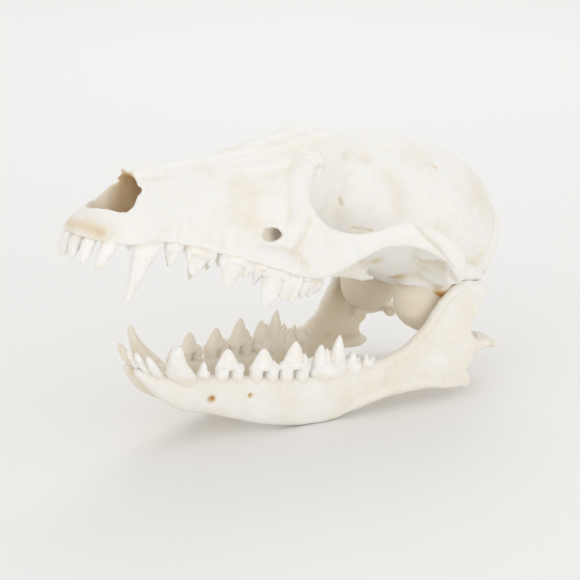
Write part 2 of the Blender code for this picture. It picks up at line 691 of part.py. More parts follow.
def jaw(side):
    forms = [
        blade("body", JAW_BODY, side, steps=40, around=24, power=2.6),
        blade("ramus", RAMUS, side, steps=26, around=20, power=3),
        rod("front_ridge", FRONT_RIDGE, side),
        rod("ledge", LEDGE, side, steps=22),
        lump("coronoid_tip", (101.2, side * 24.9, 22.8), (4.0, 1.0, 3.6)),
        rod("condyle_neck", CONDYLE_NECK, side),
        rod("condyle_bar", CONDYLE_BAR, side),
        rod("angle", ANGULAR_PROCESS, side),
        lump("symphysis", (9.4, side * 2.4, -4.4), (9.6, 3.4, 3.6), tip=24),
    ]
    inner, outer = sorted((-side * 12, side * GAP / 2))
    half = block("other_half", (-12, inner, -30), (60, outer, 20))
    notches = [lump("notch", (x, side * y, z), radii) for (x, y, z), radii in JAW_NOTCHES]
    bone = fused("jaw", forms, notches, JAW_VOXEL, JAW_FACES)
    cut(bone, [half])
    teeth = [
        cone_tooth("i1", [(3.0, 1.6, -2.6, 1.4, 1.0), (-0.8, 1.5, 1.4, 1.4, 1.2),
                          (-3.8, 1.5, 5.0, 1.0, 1.1), (-4.8, 1.5, 6.8, 0.4, 0.8)], side),
        cone_tooth("i2", [(3.6, 3.6, -2.6, 1.5, 1.0), (0.0, 3.9, 1.4, 1.6, 1.3),
                          (-3.0, 4.2, 5.0, 1.1, 1.2), (-4.0, 4.2, 6.8, 0.4, 0.8)], side),
        cone_tooth("i3", [(5.0, 5.4, -2.6, 1.6, 1.2), (1.8, 6.2, 1.2, 1.8, 1.4),
                          (-1.2, 6.8, 4.8, 1.2, 1.3), (-2.0, 6.9, 6.4, 0.4, 0.8)], side),
        cone_tooth("canine", [(12.6, 6.6, -5.0, 3.0, 2.4), (8.2, 8.2, 0.6, 4.4, 2.9),
                              (6.0, 9.6, 4.4, 2.9, 2.3), (5.0, 10.6, 7.8, 1.6, 1.4),
                              (4.7, 10.8, 9.3, 0.6, 0.6)], side, steps=8),
        blade_tooth("p1", (15.0, 7.3), (18.8, 8.0), -1.0, 2.8, [(0.45, 4.6)], False, side, 5),
        blade_tooth("p2", (20.2, 8.6), (28.4, 10.4), -1.2, 3.5, [(0.38, 8.6)], False, side, 7),
        blade_tooth("p3", (30.4, 10.8), (39.4, 12.4), -1.6, 3.8, [(0.46, 8.8), (0.88, 3.8)], False, side, 7),
        blade_tooth("p4", (39.8, 12.5), (49.2, 14.0), -2.2, 4.2, [(0.48, 11.2), (0.82, 6.4)], False, side, 7),
        blade_tooth("m1", (50.2, 13.8), (66.6, 15.8), -2.2, 5.8,
                    [(0.18, 9.6), (0.52, 12.2), (0.82, 7.0), (0.95, 6.4)], False, side, 9),
        blade_tooth("m2", (66.8, 15.8), (71.8, 16.8), -0.4, 4.6, [(0.3, 5.0), (0.75, 4.2)], False, side, 5),
        blade_tooth("m3", (72.0, 17.0), (74.6, 17.6), 0.6, 3.2, [(0.5, 3.2)], False, side, 4),
    ]
    return with_teeth(bone, teeth)


def coat(made, name, colour, roughness, pose):
    """Names a node, gives it its material and puts it under its posing empty."""
    made.name = name
    made.data.name = name
    material = bpy.data.materials.new(name)
    material.use_nodes = True
    shader = material.node_tree.nodes["Principled BSDF"]
    shader.inputs["Base Color"].default_value = (*colour, 1)
    shader.inputs["Roughness"].default_value = roughness
    shader.inputs["Metallic"].default_value = 0
    made.data.materials.clear()
    made.data.materials.append(material)
    made.data.shade_smooth()
    made.data.set_sharp_from_angle(angle=math.radians(50))
    workshop.objects.unlink(made)
    skull.objects.link(made)
    made.parent = pose


def empty(name, parent=None, pitch=0.0, place=(0, 0, 0)):
    """Empty that carries and pitches the bones under it."""
    made = bpy.data.objects.new(name, None)
    skull.objects.link(made)
    made.parent = parent
    made.rotation_euler = (0, pitch, 0)
    made.location = Vector(place) * MM
    return made


table = empty("skull")
cranium_pose = empty("cranium_pose", table, CRANIUM_PITCH)
jaw_pose = empty("jaw_pose", table, JAW_PITCH, JAW_SHIFT)

for piece in pieces_of(cranium()):
    points = np.array([tuple(corner) for corner in piece.bound_box]) / MM
    middle = (points.min(axis=0) + points.max(axis=0)) / 2
    if bulk(piece) < 50 * MM ** 3:
        bpy.data.objects.remove(piece, do_unlink=True)
    elif abs(middle[1]) > 12:
        side_name = "left" if middle[1] < 0 else "right"
        coat(piece, "cheekbone_" + side_name, FACE_BONE, 0.5, cranium_pose)
    elif middle[0] > FRONTAL_CUT_X:
        coat(piece, "braincase", BONE, 0.5, cranium_pose)
    else:
        coat(with_teeth(piece, upper_teeth()), "snout", FACE_BONE, 0.5, cranium_pose)

for side, side_name in ((LEFT, "left"), (RIGHT, "right")):
    centre, radii, turn = BULLA
    place = (centre[0], side * centre[1], centre[2])
    bulla = lump("bulla", place, radii, turn=side * turn, segments=BULLA_SEGMENTS)
    coat(bulla, "ear_bulla_" + side_name, BULLA_BONE, 0.55, cranium_pose)
    coat(jaw(side), "jaw_" + side_name, JAW_BONE, 0.5, jaw_pose)

# Footprint centred on the origin, lowest point on the floor

bpy.context.view_layer.update()
corners = np.concatenate([
    np.array([tuple(bone.matrix_world @ vertex.co) for vertex in bone.data.vertices])
    for bone in skull.objects if bone.type == "MESH"])
low, high = corners.min(axis=0), corners.max(axis=0)
table.location = (-(low[0] + high[0]) / 2, -(low[1] + high[1]) / 2, -low[2])
bpy.data.collections.remove(workshop)
bpy.context.view_layer.update()
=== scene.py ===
# Fox skull, life size: the cranium lies tipped back on its upright lower jaw, lit as on a museum's table.
# Shapes are worked out in millimetres: the cranium's x runs back from the front of the upper jaw,
# z up from the tooth sockets, y to the animal's right. The jaw has the same axes from its own front.
import math
import bmesh
import bpy
import numpy as np
from mathutils import Matrix, Vector


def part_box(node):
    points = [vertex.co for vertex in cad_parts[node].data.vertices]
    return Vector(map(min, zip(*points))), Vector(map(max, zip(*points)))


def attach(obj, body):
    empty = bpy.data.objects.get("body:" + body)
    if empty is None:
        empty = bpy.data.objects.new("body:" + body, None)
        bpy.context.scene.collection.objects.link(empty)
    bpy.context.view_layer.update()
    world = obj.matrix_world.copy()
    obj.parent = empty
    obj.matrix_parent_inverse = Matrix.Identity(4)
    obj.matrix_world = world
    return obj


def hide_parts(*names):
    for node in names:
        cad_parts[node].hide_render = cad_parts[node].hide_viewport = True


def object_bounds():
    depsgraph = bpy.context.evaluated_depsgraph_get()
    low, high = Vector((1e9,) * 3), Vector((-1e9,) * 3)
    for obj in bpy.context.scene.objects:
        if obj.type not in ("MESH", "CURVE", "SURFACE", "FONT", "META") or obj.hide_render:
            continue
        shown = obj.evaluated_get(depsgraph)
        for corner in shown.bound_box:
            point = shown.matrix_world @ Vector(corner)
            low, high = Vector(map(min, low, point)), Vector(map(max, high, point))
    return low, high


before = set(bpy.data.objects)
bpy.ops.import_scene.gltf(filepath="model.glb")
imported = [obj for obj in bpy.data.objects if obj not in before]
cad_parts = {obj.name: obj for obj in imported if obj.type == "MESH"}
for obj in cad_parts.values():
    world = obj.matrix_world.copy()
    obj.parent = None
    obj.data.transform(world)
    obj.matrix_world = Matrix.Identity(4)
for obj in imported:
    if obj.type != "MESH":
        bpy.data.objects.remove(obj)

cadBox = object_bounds()
mm = 0.001
sharpEdge = 58  # degrees between faces
workshop = bpy.data.collections.new("workshop")
bpy.context.scene.collection.children.link(workshop)

skullPose = {
    "craniumPitch": 17.7,  # degrees, nose up
    "jawPitch": 7.7,
    "jawShift": (19.8, 0.0, -42.5),
    "bullaCentre": (120.0, -13.4, -0.6),  # left ear bulla in the cranium, which fixes the skull's place
}


def pitchMatrix(degrees):
    return Matrix.Rotation(math.radians(degrees), 4, "Y")


lowCorner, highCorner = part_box("ear_bulla_left")
craniumTurn = pitchMatrix(skullPose["craniumPitch"])
tablePlace = (lowCorner + highCorner) / 2 - craniumTurn @ (Vector(skullPose["bullaCentre"]) * mm)
craniumPlace = Matrix.Translation(tablePlace) @ craniumTurn
jawPlace = (Matrix.Translation(tablePlace + Vector(skullPose["jawShift"]) * mm)
            @ pitchMatrix(skullPose["jawPitch"]))


# Surfaces

def smoothThrough(rows, at):
    # cubic through rows of (position, values...), its slope at a row the mean of the slopes on both sides
    rows = np.asarray(rows, dtype=float)
    knots, values = rows[:, 0], rows[:, 1:]
    step = np.diff(knots)[:, None]
    slope = np.diff(values, axis=0) / step
    tangent = np.empty_like(values)
    tangent[0], tangent[-1] = slope[0], slope[-1]
    tangent[1:-1] = (slope[:-1] * step[1:] + slope[1:] * step[:-1]) / (step[1:] + step[:-1])
    i = np.clip(np.searchsorted(knots, at, side="right") - 1, 0, len(knots) - 2)
    t = ((at - knots[i]) / step[i, 0])[:, None]
    return (values[i] * (2 * t ** 3 - 3 * t ** 2 + 1) + values[i + 1] * (3 * t ** 2 - 2 * t ** 3)
            + tangent[i] * step[i] * (t ** 3 - 2 * t ** 2 + t)
            + tangent[i + 1] * step[i] * (t ** 3 - t ** 2))


def roundSection(count, power):
    # superellipse of half-size 1: |across|^power + |up|^power = 1
    angle = np.linspace(0, 2 * math.pi, count, endpoint=False)
    c, s = np.cos(angle), np.sin(angle)
    return np.sign(c) * abs(c) ** (2 / power), np.sign(s) * abs(s) ** (2 / power)


def ringLoft(rings):
    # skin over rings of points, a flat cap on both ends, turned outwards if its volume comes out negative
    count, around = rings.shape[:2]
    a = np.arange(count - 1)[:, None] * around + np.arange(around)[None, :]
    b = np.arange(count - 1)[:, None] * around + (np.arange(around)[None, :] + 1) % around
    quads = np.stack([a, b, b + around, a + around], axis=-1).reshape(-1, 4)
    points = rings.reshape(-1, 3)
    corners = points[quads]
    centre = points.mean(axis=0)
    cross = np.cross(corners[:, 2] - corners[:, 0], corners[:, 3] - corners[:, 1])
    outward = ((corners.mean(axis=1) - centre) * cross).sum() > 0
    caps = [list(range(around - 1, -1, -1)), list(range((count - 1) * around, count * around))]
    if not outward:
        quads = quads[:, ::-1]
        caps = [cap[::-1] for cap in caps]
    return points, quads.tolist() + caps


def barrel(rows, steps=60, around=64, power=2.2, floorPower=None, taper=1.0):
    # upright superellipse carried along x; rows: x, half-width at top, half-width low, top, bottom
    x = np.linspace(rows[0][0], rows[-1][0], steps)
    topHalf, lowHalf, top, low = smoothThrough(rows, x).T[:, :, None]
    across, up = roundSection(around, power)
    if floorPower:
        lowAcross, lowUp = roundSection(around, floorPower)
        across, up = np.where(up < 0, lowAcross, across), np.where(up < 0, lowUp, up)
    half = lowHalf + (topHalf - lowHalf) * ((up + 1) / 2) ** taper
    y, z = across * half, (top + low) / 2 + up * (top - low) / 2
    return ringLoft(np.stack([np.broadcast_to(x[:, None], y.shape), y, z], axis=2))


def alongRows(rows, dims, steps):
    # the rows read at even distances along the path of their first columns
    rows = np.asarray(rows, dtype=float)
    run = np.concatenate([[0], np.cumsum(np.linalg.norm(np.diff(rows[:, :dims], axis=0), axis=1))])
    return smoothThrough(np.column_stack([run, rows]), np.linspace(0, run[-1], steps))


def blade(rows, side, steps=50, around=32, power=2.4):
    # upright strap along a path; rows: x, y, upper edge, lower edge, thickness
    x, y, top, low, thick = alongRows(rows, 2, steps).T
    way = np.gradient(np.column_stack([x, y]), axis=0)
    way /= np.linalg.norm(way, axis=1)[:, None]
    across, up = roundSection(around, power)
    shift = across[None, :] * thick[:, None] / 2
    px = x[:, None] - way[:, 1:2] * shift
    py = y[:, None] + way[:, 0:1] * shift
    pz = ((top + low) / 2)[:, None] + up[None, :] * ((top - low) / 2)[:, None]
    return ringLoft(np.stack([px, side * py, pz], axis=2))


def rod(rows, side=1, steps=26, around=20, flat=1.0):
    # round bar along a path, squeezed in z by flat; rows: x, y, z, radius
    places = alongRows(rows, 3, steps)
    centre, radius = places[:, :3], places[:, 3]
    way = np.gradient(centre, axis=0)
    way /= np.linalg.norm(way, axis=1)[:, None]
    one = np.cross(way, np.array([0.31, 0.95, 0.11]))
    one /= np.linalg.norm(one, axis=1)[:, None]
    two = np.cross(way, one)
    across, up = roundSection(around, 2)
    ring = centre[:, None] + radius[:, None, None] * (
        one[:, None] * across[None, :, None] + two[:, None] * up[None, :, None])
    ring[:, :, 2] = centre[:, None, 2] + (ring[:, :, 2] - centre[:, None, 2]) * flat
    ring[:, :, 1] *= side
    return ringLoft(ring)


def egg(centre, radii, turn=0.0, tip=0.0, steps=32, around=48):
    # ellipsoid from circles of latitude, turned about z, then tipped about y, in degrees
    latitude = np.linspace(-math.pi / 2 + 0.02, math.pi / 2 - 0.02, steps)
    across, up = roundSection(around, 2)
    ring = np.stack([np.cos(latitude)[:, None] * across, np.cos(latitude)[:, None] * up,
                     np.broadcast_to(np.sin(latitude)[:, None], (steps, around))], axis=2) * radii
    turned = Matrix.Rotation(math.radians(turn), 3, "Z") @ Matrix.Rotation(math.radians(tip), 3, "Y")
    return ringLoft(ring @ np.array(turned).T + np.array(centre))


def spike(base, tip, length, width, turn=0.0, full=1.3, steps=14, around=18, blunt=0.2):
    # tooth cusp: an ellipse that shrinks from base to tip as (1 - t^full) and ends rounded
    t = np.linspace(0, 1, steps) ** 0.8
    base, tip = np.array(base, float), np.array(tip, float)
    centre = base + (tip - base) * t[:, None]
    size = (1 - t ** full) * (1 - blunt) + blunt * np.sqrt(np.clip(1 - t ** 7, 0.02, 1))
    across, up = roundSection(around, 2)
    long, wide = across * length / 2, up * width / 2
    c, s = math.cos(math.radians(turn)), math.sin(math.radians(turn))
    flat = np.stack([long * c - wide * s, long * s + wide * c, np.zeros(around)], axis=1)
    return ringLoft(centre[:, None] + flat[None] * size[:, None, None])


# Bones grow together from overlapping surfaces

def objectFrom(name, surfaces):
    points, faces, start = [], [], 0
    for surfacePoints, surfaceFaces in surfaces:
        points.append(surfacePoints)
        faces += [[corner + start for corner in face] for face in surfaceFaces]
        start += len(surfacePoints)
    mesh = bpy.data.meshes.new(name)
    mesh.from_pydata((np.concatenate(points) * mm).tolist(), [], faces)
    made = bpy.data.objects.new(name, mesh)
    workshop.objects.link(made)
    return made


def applyModifiers(made):
    bpy.context.view_layer.update()
    graph = bpy.context.evaluated_depsgraph_get()
    mesh = bpy.data.meshes.new_from_object(made.evaluated_get(graph))
    made.modifiers.clear()
    made.data = mesh
    return made


def remeshed(made, voxel):
    weld = made.modifiers.new("growTogether", "REMESH")
    weld.mode = "VOXEL"
    weld.voxel_size = voxel * mm
    return made


def takeAway(made, tool):
    cut = made.modifiers.new("takeAway", "BOOLEAN")
    cut.operation = "DIFFERENCE"
    cut.solver = "MANIFOLD"
    cut.object = tool
    applyModifiers(made)
    bpy.data.objects.remove(tool, do_unlink=True)


def grown(name, surfaces, hollows, voxel, rounding):
    bone = applyModifiers(remeshed(objectFrom(name, surfaces), voxel))
    if hollows:
        tool = applyModifiers(remeshed(objectFrom(name + "Hollow", hollows), voxel))
        takeAway(bone, tool)
        remeshed(bone, voxel)
    soften = bone.modifiers.new("soften", "SMOOTH")
    soften.factor = 0.5
    soften.iterations = rounding
    return applyModifiers(bone)


def readPoints(mesh):
    points = np.empty(len(mesh.vertices) * 3, dtype=np.float32)
    mesh.vertices.foreach_get("co", points)
    return points.reshape(-1, 3).astype(float) / mm


def readNormals(mesh):
    normals = np.empty(len(mesh.vertices) * 3, dtype=np.float32)
    mesh.vertex_normals.foreach_get("vector", normals)
    return normals.reshape(-1, 3).astype(float)


def writePoints(mesh, points):
    mesh.vertices.foreach_set("co", (points * mm).astype(np.float32).ravel())
    mesh.update()


def neighbourMean(mesh, values, rounds):
    # each value becomes the mean of its neighbours' along the edges, again and again
    edges = np.empty(len(mesh.edges) * 2, dtype=np.int32)
    mesh.edges.foreach_get("vertices", edges)
    a, b = edges[0::2], edges[1::2]
    count = len(values)
    share = np.bincount(a, minlength=count) + np.bincount(b, minlength=count)
    share = np.maximum(share, 1)[:, None]
    values = np.array(values, dtype=float)
    for again in range(rounds):
        total = np.stack([np.bincount(a, values[b, k], count) + np.bincount(b, values[a, k], count)
                          for k in range(values.shape[1])], axis=1)
        values = total / share
    return values


def hollowness(mesh, rounds, reach):
    # how far the smoothed surface stands above the real one, in parts of reach: high in dips and creases
    points = readPoints(mesh)
    lift = ((neighbourMean(mesh, points, rounds) - points) * readNormals(mesh)).sum(axis=1)
    return np.clip(lift / reach, -1, 1)


def pathDistance(points, path, keep):
    # distance from each point to a polyline, with the axes that aren't in keep left out
    points, path = points * keep, np.asarray(path, dtype=float) * keep
    best = np.full(len(points), 1e9)
    for start, end in zip(path[:-1], path[1:]):
        way = end - start
        t = np.clip(((points - start) @ way) / max(way @ way, 1e-9), 0, 1)
        best = np.minimum(best, np.linalg.norm(points - start - t[:, None] * way, axis=1))
    return best


def wavy(points, size, length):
    # points shifted by crossed sine waves, so that a suture drawn on them wanders
    k = 2 * math.pi / length
    x, y, z = points.T
    return points + size * np.stack([
        np.sin(k * z) + 0.6 * np.sin(2.3 * k * y + 1.1),
        np.sin(k * x + 0.7) + 0.6 * np.sin(1.9 * k * z),
        np.sin(1.2 * k * x + 2.0) + 0.6 * np.sin(2.1 * k * y + 0.4)], axis=1)


def hill(distance, width):
    return np.exp(-(distance / width) ** 2)


flank, crown, space = (1, 0, 1), (1, 1, 0), (1, 1, 1)  # axes that a mark's distance counts


def markedPoints(points, normals, marks, tone):
    # raises or sinks the skin along the marks and adds their tints to tone; a mark is (path, axes, gate,
    # height, width, tint, wander), the gate is the least |y| on the flank and the least z on the crown
    mirrored = np.column_stack([points[:, 0], abs(points[:, 1]), points[:, 2]])
    lift = np.zeros(len(points))
    for path, axes, gate, height, width, tint, wander in marks.values():
        read = wavy(mirrored, wander, 2.6) if wander else mirrored
        near = hill(pathDistance(read, path, np.array(axes, float)), width)
        if axes == flank:
            near = near * np.clip((mirrored[:, 1] - gate) / 1.5, 0, 1)
        if axes == crown:
            near = near * np.clip((points[:, 2] - gate) / 1.5, 0, 1)
        lift += height * near
        tone += tint * near
    return points + normals * lift[:, None]


def noiseField(points, length, seed):
    # smooth noise from sums of sine waves in fixed random directions
    rng = np.random.default_rng(seed)
    total = np.zeros(len(points))
    for k in range(10):
        way = rng.normal(size=3)
        way *= 2 * math.pi / length / np.linalg.norm(way) * rng.uniform(0.7, 1.5)
        total += np.sin(points @ way + rng.uniform(0, 6.28))
    return total / math.sqrt(10)


def unevenness(points, layers):
    return sum(noiseField(points, length, seed) * height for length, seed, height in layers)


def insideBox(points):
    # past 1 mm from the box's sides a distance d becomes tanh(d), and nothing goes below the floor
    high = np.array(cadBox[1]) / mm
    for axis in (0, 1, 2):
        over = abs(points[:, axis]) - high[axis] + 1
        points[:, axis] -= np.sign(points[:, axis]) * np.clip(over - np.tanh(over), 0, None) * (over > 0)
    points[:, 2] = np.maximum(points[:, 2], 0)
    return points


def finishPiece(made, name, place, nodes, material, tones):
    # moves a piece to its place in the row frame, rides it on the root and writes its tone attributes
    made.name = made.data.name = name
    for toneName, values in tones.items():
        layer = made.data.attributes.new(toneName, "FLOAT", "POINT")
        layer.data.foreach_set("value", np.clip(values, 0, 1).astype(np.float32))
    made.data.transform(place)
    writePoints(made.data, insideBox(readPoints(made.data)))
    made.data.materials.clear()
    made.data.materials.append(material)
    made.data.shade_smooth()
    made.data.set_sharp_from_angle(angle=math.radians(sharpEdge))
    workshop.objects.unlink(made)
    bpy.context.scene.collection.objects.link(made)
    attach(made, "root")
    if nodes:
        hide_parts(*nodes)
    made.data.calc_loop_triangles()
    print("piece", name, len(made.data.loop_triangles), "triangles")
    return made


# Materials

def linear(code):
    # sRGB hex to the linear colour that the shader wants
    parts = [int(code[i:i + 2], 16) / 255 for i in (1, 3, 5)]
    return tuple(c / 12.92 if c <= 0.04045 else ((c + 0.055) / 1.055) ** 2.4 for c in parts) + (1.0,)


def addNode(tree, kind, settings=None, inputs=None):
    # one node with its properties, its socket values and the links that come into it
    node = tree.nodes.new(kind)
    for key, value in (settings or {}).items():
        setattr(node, key, value)
    for key, value in (inputs or {}).items():
        if isinstance(value, bpy.types.NodeSocket):
            tree.links.new(value, node.inputs[key])
        else:
            node.inputs[key].default_value = value
    return node


def ramp(tree, factor, low, high):
    return addNode(tree, "ShaderNodeMapRange", {"clamp": True},
                   {"Value": factor, "From Min": low, "From Max": high}).outputs["Result"]


def blendColour(tree, factor, first, second):
    # sockets 0, 6, 7 and output 2 are the mix node's factor and its two colours and result
    return addNode(tree, "ShaderNodeMix", {"data_type": "RGBA"}, {0: factor, 6: first, 7: second}).outputs[2]


def times(tree, first, second):
    return addNode(tree, "ShaderNodeMath", {"operation": "MULTIPLY", "use_clamp": True},
                   {0: first, 1: second}).outputs["Value"]


boneLook = {
    "pale": "#F5F3EE",       # bleached outer bone
    "cream": "#EEE4D0",      # patches where some fat stayed in the bone
    "tanTintAndShade": "#E0CBA2",       # painted shade in dips, sockets, recesses and on the far and inner sides; also light tan tints and pores
    "stainAndHoleShade": "#C79A52",      # tan stains, and painted shade inside foramina and deep in the nose
    "deepStainAndHoleShade": "#A8681C",       # painted shade at the bottoms of holes, and the darkest stains
    "patchLength": 17.0,     # mm
    "grainLength": 0.55,     # mm
    "poreSpacing": 1.3,      # mm
    "roughness": 0.52,
}


def dryBone(name, creamShare=0.35, hollowShadeStrength=1.0):
    # cleaned and bleached bone: ivory, satin, mottled cream and pores, with tan stains and tints, and
    # painted shade in its hollows and holes
    material = bpy.data.materials.new(name)
    material.use_nodes = True
    tree = material.node_tree
    shader = tree.nodes["Principled BSDF"]
    place = addNode(tree, "ShaderNodeTexCoord").outputs["Object"]
    patch = addNode(tree, "ShaderNodeTexNoise", None, {
        "Vector": place, "Scale": 1000 / boneLook["patchLength"], "Detail": 4.0, "Roughness": 0.55})
    fine = addNode(tree, "ShaderNodeTexNoise", None, {
        "Vector": place, "Scale": 1000 / 3.2, "Detail": 3.0, "Roughness": 0.6})
    grain = addNode(tree, "ShaderNodeTexNoise", None, {
        "Vector": place, "Scale": 1000 / boneLook["grainLength"], "Detail": 2.0, "Roughness": 0.7})
    pores = addNode(tree, "ShaderNodeTexVoronoi", {"feature": "F1"}, {
        "Vector": place, "Scale": 1000 / boneLook["poreSpacing"], "Randomness": 1.0})
    tone = addNode(tree, "ShaderNodeAttribute", {"attribute_name": "tone"}).outputs["Fac"]
    hollowShade = addNode(tree, "ShaderNodeAttribute", {"attribute_name": "hollowShade"}).outputs["Fac"]
    creamed = times(tree, ramp(tree, patch.outputs["Fac"], 0.62 - 0.3 * creamShare, 0.78), 0.85)
    colour = blendColour(tree, creamed, linear(boneLook["pale"]), linear(boneLook["cream"]))
    speckle = times(tree, ramp(tree, fine.outputs["Fac"], 0.5, 0.8), 0.22)
    colour = blendColour(tree, speckle, colour, linear(boneLook["cream"]))
    # painted shade: dips and creases turn tan by their hollowness
    colour = blendColour(tree, times(tree, hollowShade, 0.26 * hollowShadeStrength), colour, linear(boneLook["tanTintAndShade"]))
    # tone carries real stains and tints, and also painted shade in holes, recesses and on the far and inner
    # sides
    warmed = ramp(tree, tone, 0.02, 0.5)
    colour = blendColour(tree, times(tree, warmed, 0.8), colour, linear(boneLook["tanTintAndShade"]))
    colour = blendColour(tree, ramp(tree, tone, 0.42, 0.8), colour, linear(boneLook["stainAndHoleShade"]))
    colour = blendColour(tree, ramp(tree, tone, 0.8, 1.0), colour, linear(boneLook["deepStainAndHoleShade"]))
    poreSpots = ramp(tree, pores.outputs["Distance"], 0.16, 0.06)
    poreSpots = times(tree, poreSpots, ramp(tree, patch.outputs["Fac"], 0.52, 0.64))
    colour = blendColour(tree, times(tree, poreSpots, 0.35), colour, linear(boneLook["tanTintAndShade"]))
    rough = addNode(tree, "ShaderNodeMapRange", None, {
        "Value": fine.outputs["Fac"], "To Min": boneLook["roughness"] - 0.09,
        "To Max": boneLook["roughness"] + 0.12})
    relief = addNode(tree, "ShaderNodeBump", None, {
        "Strength": 0.35, "Distance": 0.05 * mm, "Height": grain.outputs["Fac"]})
    relief = addNode(tree, "ShaderNodeBump", None, {
        "Strength": 0.5, "Distance": 0.22 * mm, "Height": fine.outputs["Fac"],
        "Normal": relief.outputs["Normal"]})
    relief = addNode(tree, "ShaderNodeBump", {"invert": True}, {
        "Strength": 0.5, "Distance": 0.12 * mm, "Height": poreSpots,
        "Normal": relief.outputs["Normal"]})
    tree.links.new(colour, shader.inputs["Base Color"])
    tree.links.new(rough.outputs["Result"], shader.inputs["Roughness"])
    tree.links.new(relief.outputs["Normal"], shader.inputs["Normal"])
    shader.inputs["IOR"].default_value = 1.53
    shader.inputs["Subsurface Weight"].default_value = 0.12
    shader.inputs["Subsurface Radius"].default_value = (1.0, 0.72, 0.42)
    shader.inputs["Subsurface Scale"].default_value = 0.0006
    return material


enamelLook = {
    "crown": "#FAF8F5",
    "neck": "#F0E9DA",       # cementum and the tooth's neck
    "streakAndCreaseShade": "#E6D9BF",      # streaks and clouds, and painted shade between the cusps
    "roughness": 0.24,
}


def toothEnamel(name):
    # tooth enamel: off-white and glossy, yellower at the neck, with faint streaks and painted shade in the
    # creases
    material = bpy.data.materials.new(name)
    material.use_nodes = True
    tree = material.node_tree
    shader = tree.nodes["Principled BSDF"]
    place = addNode(tree, "ShaderNodeTexCoord").outputs["Object"]
    neck = addNode(tree, "ShaderNodeAttribute", {"attribute_name": "neck"}).outputs["Fac"]
    hollowShade = addNode(tree, "ShaderNodeAttribute", {"attribute_name": "hollowShade"}).outputs["Fac"]
    streaks = addNode(tree, "ShaderNodeMapping", {"vector_type": "POINT"}, {
        "Vector": place, "Scale": (1.0, 1.0, 0.22)})
    streak = addNode(tree, "ShaderNodeTexNoise", None, {
        "Vector": streaks.outputs["Vector"], "Scale": 1000 / 0.9, "Detail": 3.0, "Roughness": 0.6})
    cloud = addNode(tree, "ShaderNodeTexNoise", None, {
        "Vector": place, "Scale": 1000 / 4.0, "Detail": 2.0, "Roughness": 0.5})
    colour = blendColour(tree, times(tree, ramp(tree, cloud.outputs["Fac"], 0.4, 0.75), 0.35),
                         linear(enamelLook["crown"]), linear(enamelLook["streakAndCreaseShade"]))
    colour = blendColour(tree, times(tree, ramp(tree, streak.outputs["Fac"], 0.5, 0.8), 0.3),
                         colour, linear(enamelLook["streakAndCreaseShade"]))
    # painted shade in the creases between cusps
    colour = blendColour(tree, times(tree, hollowShade, 0.7), colour, linear(enamelLook["streakAndCreaseShade"]))
    colour = blendColour(tree, neck, colour, linear(enamelLook["neck"]))
    relief = addNode(tree, "ShaderNodeBump", None, {
        "Strength": 0.3, "Distance": 0.05 * mm, "Height": streak.outputs["Fac"]})
    tree.links.new(colour, shader.inputs["Base Color"])
    tree.links.new(relief.outputs["Normal"], shader.inputs["Normal"])
    shader.inputs["Roughness"].default_value = enamelLook["roughness"]
    shader.inputs["IOR"].default_value = 1.62
    shader.inputs["Subsurface Weight"].default_value = 0.2
    shader.inputs["Subsurface Radius"].default_value = (1.0, 0.8, 0.6)
    shader.inputs["Subsurface Scale"].default_value = 0.0009
    return material


headBone = dryBone("bleachedSkullBone")
jawBone = dryBone("creamJawBone", creamShare=0.75, hollowShadeStrength=1.0)
bullaBone = dryBone("thinBullaBone", creamShare=1.0, hollowShadeStrength=1.2)
enamel = toothEnamel("toothEnamel")
print("materials ready")


# Cranium

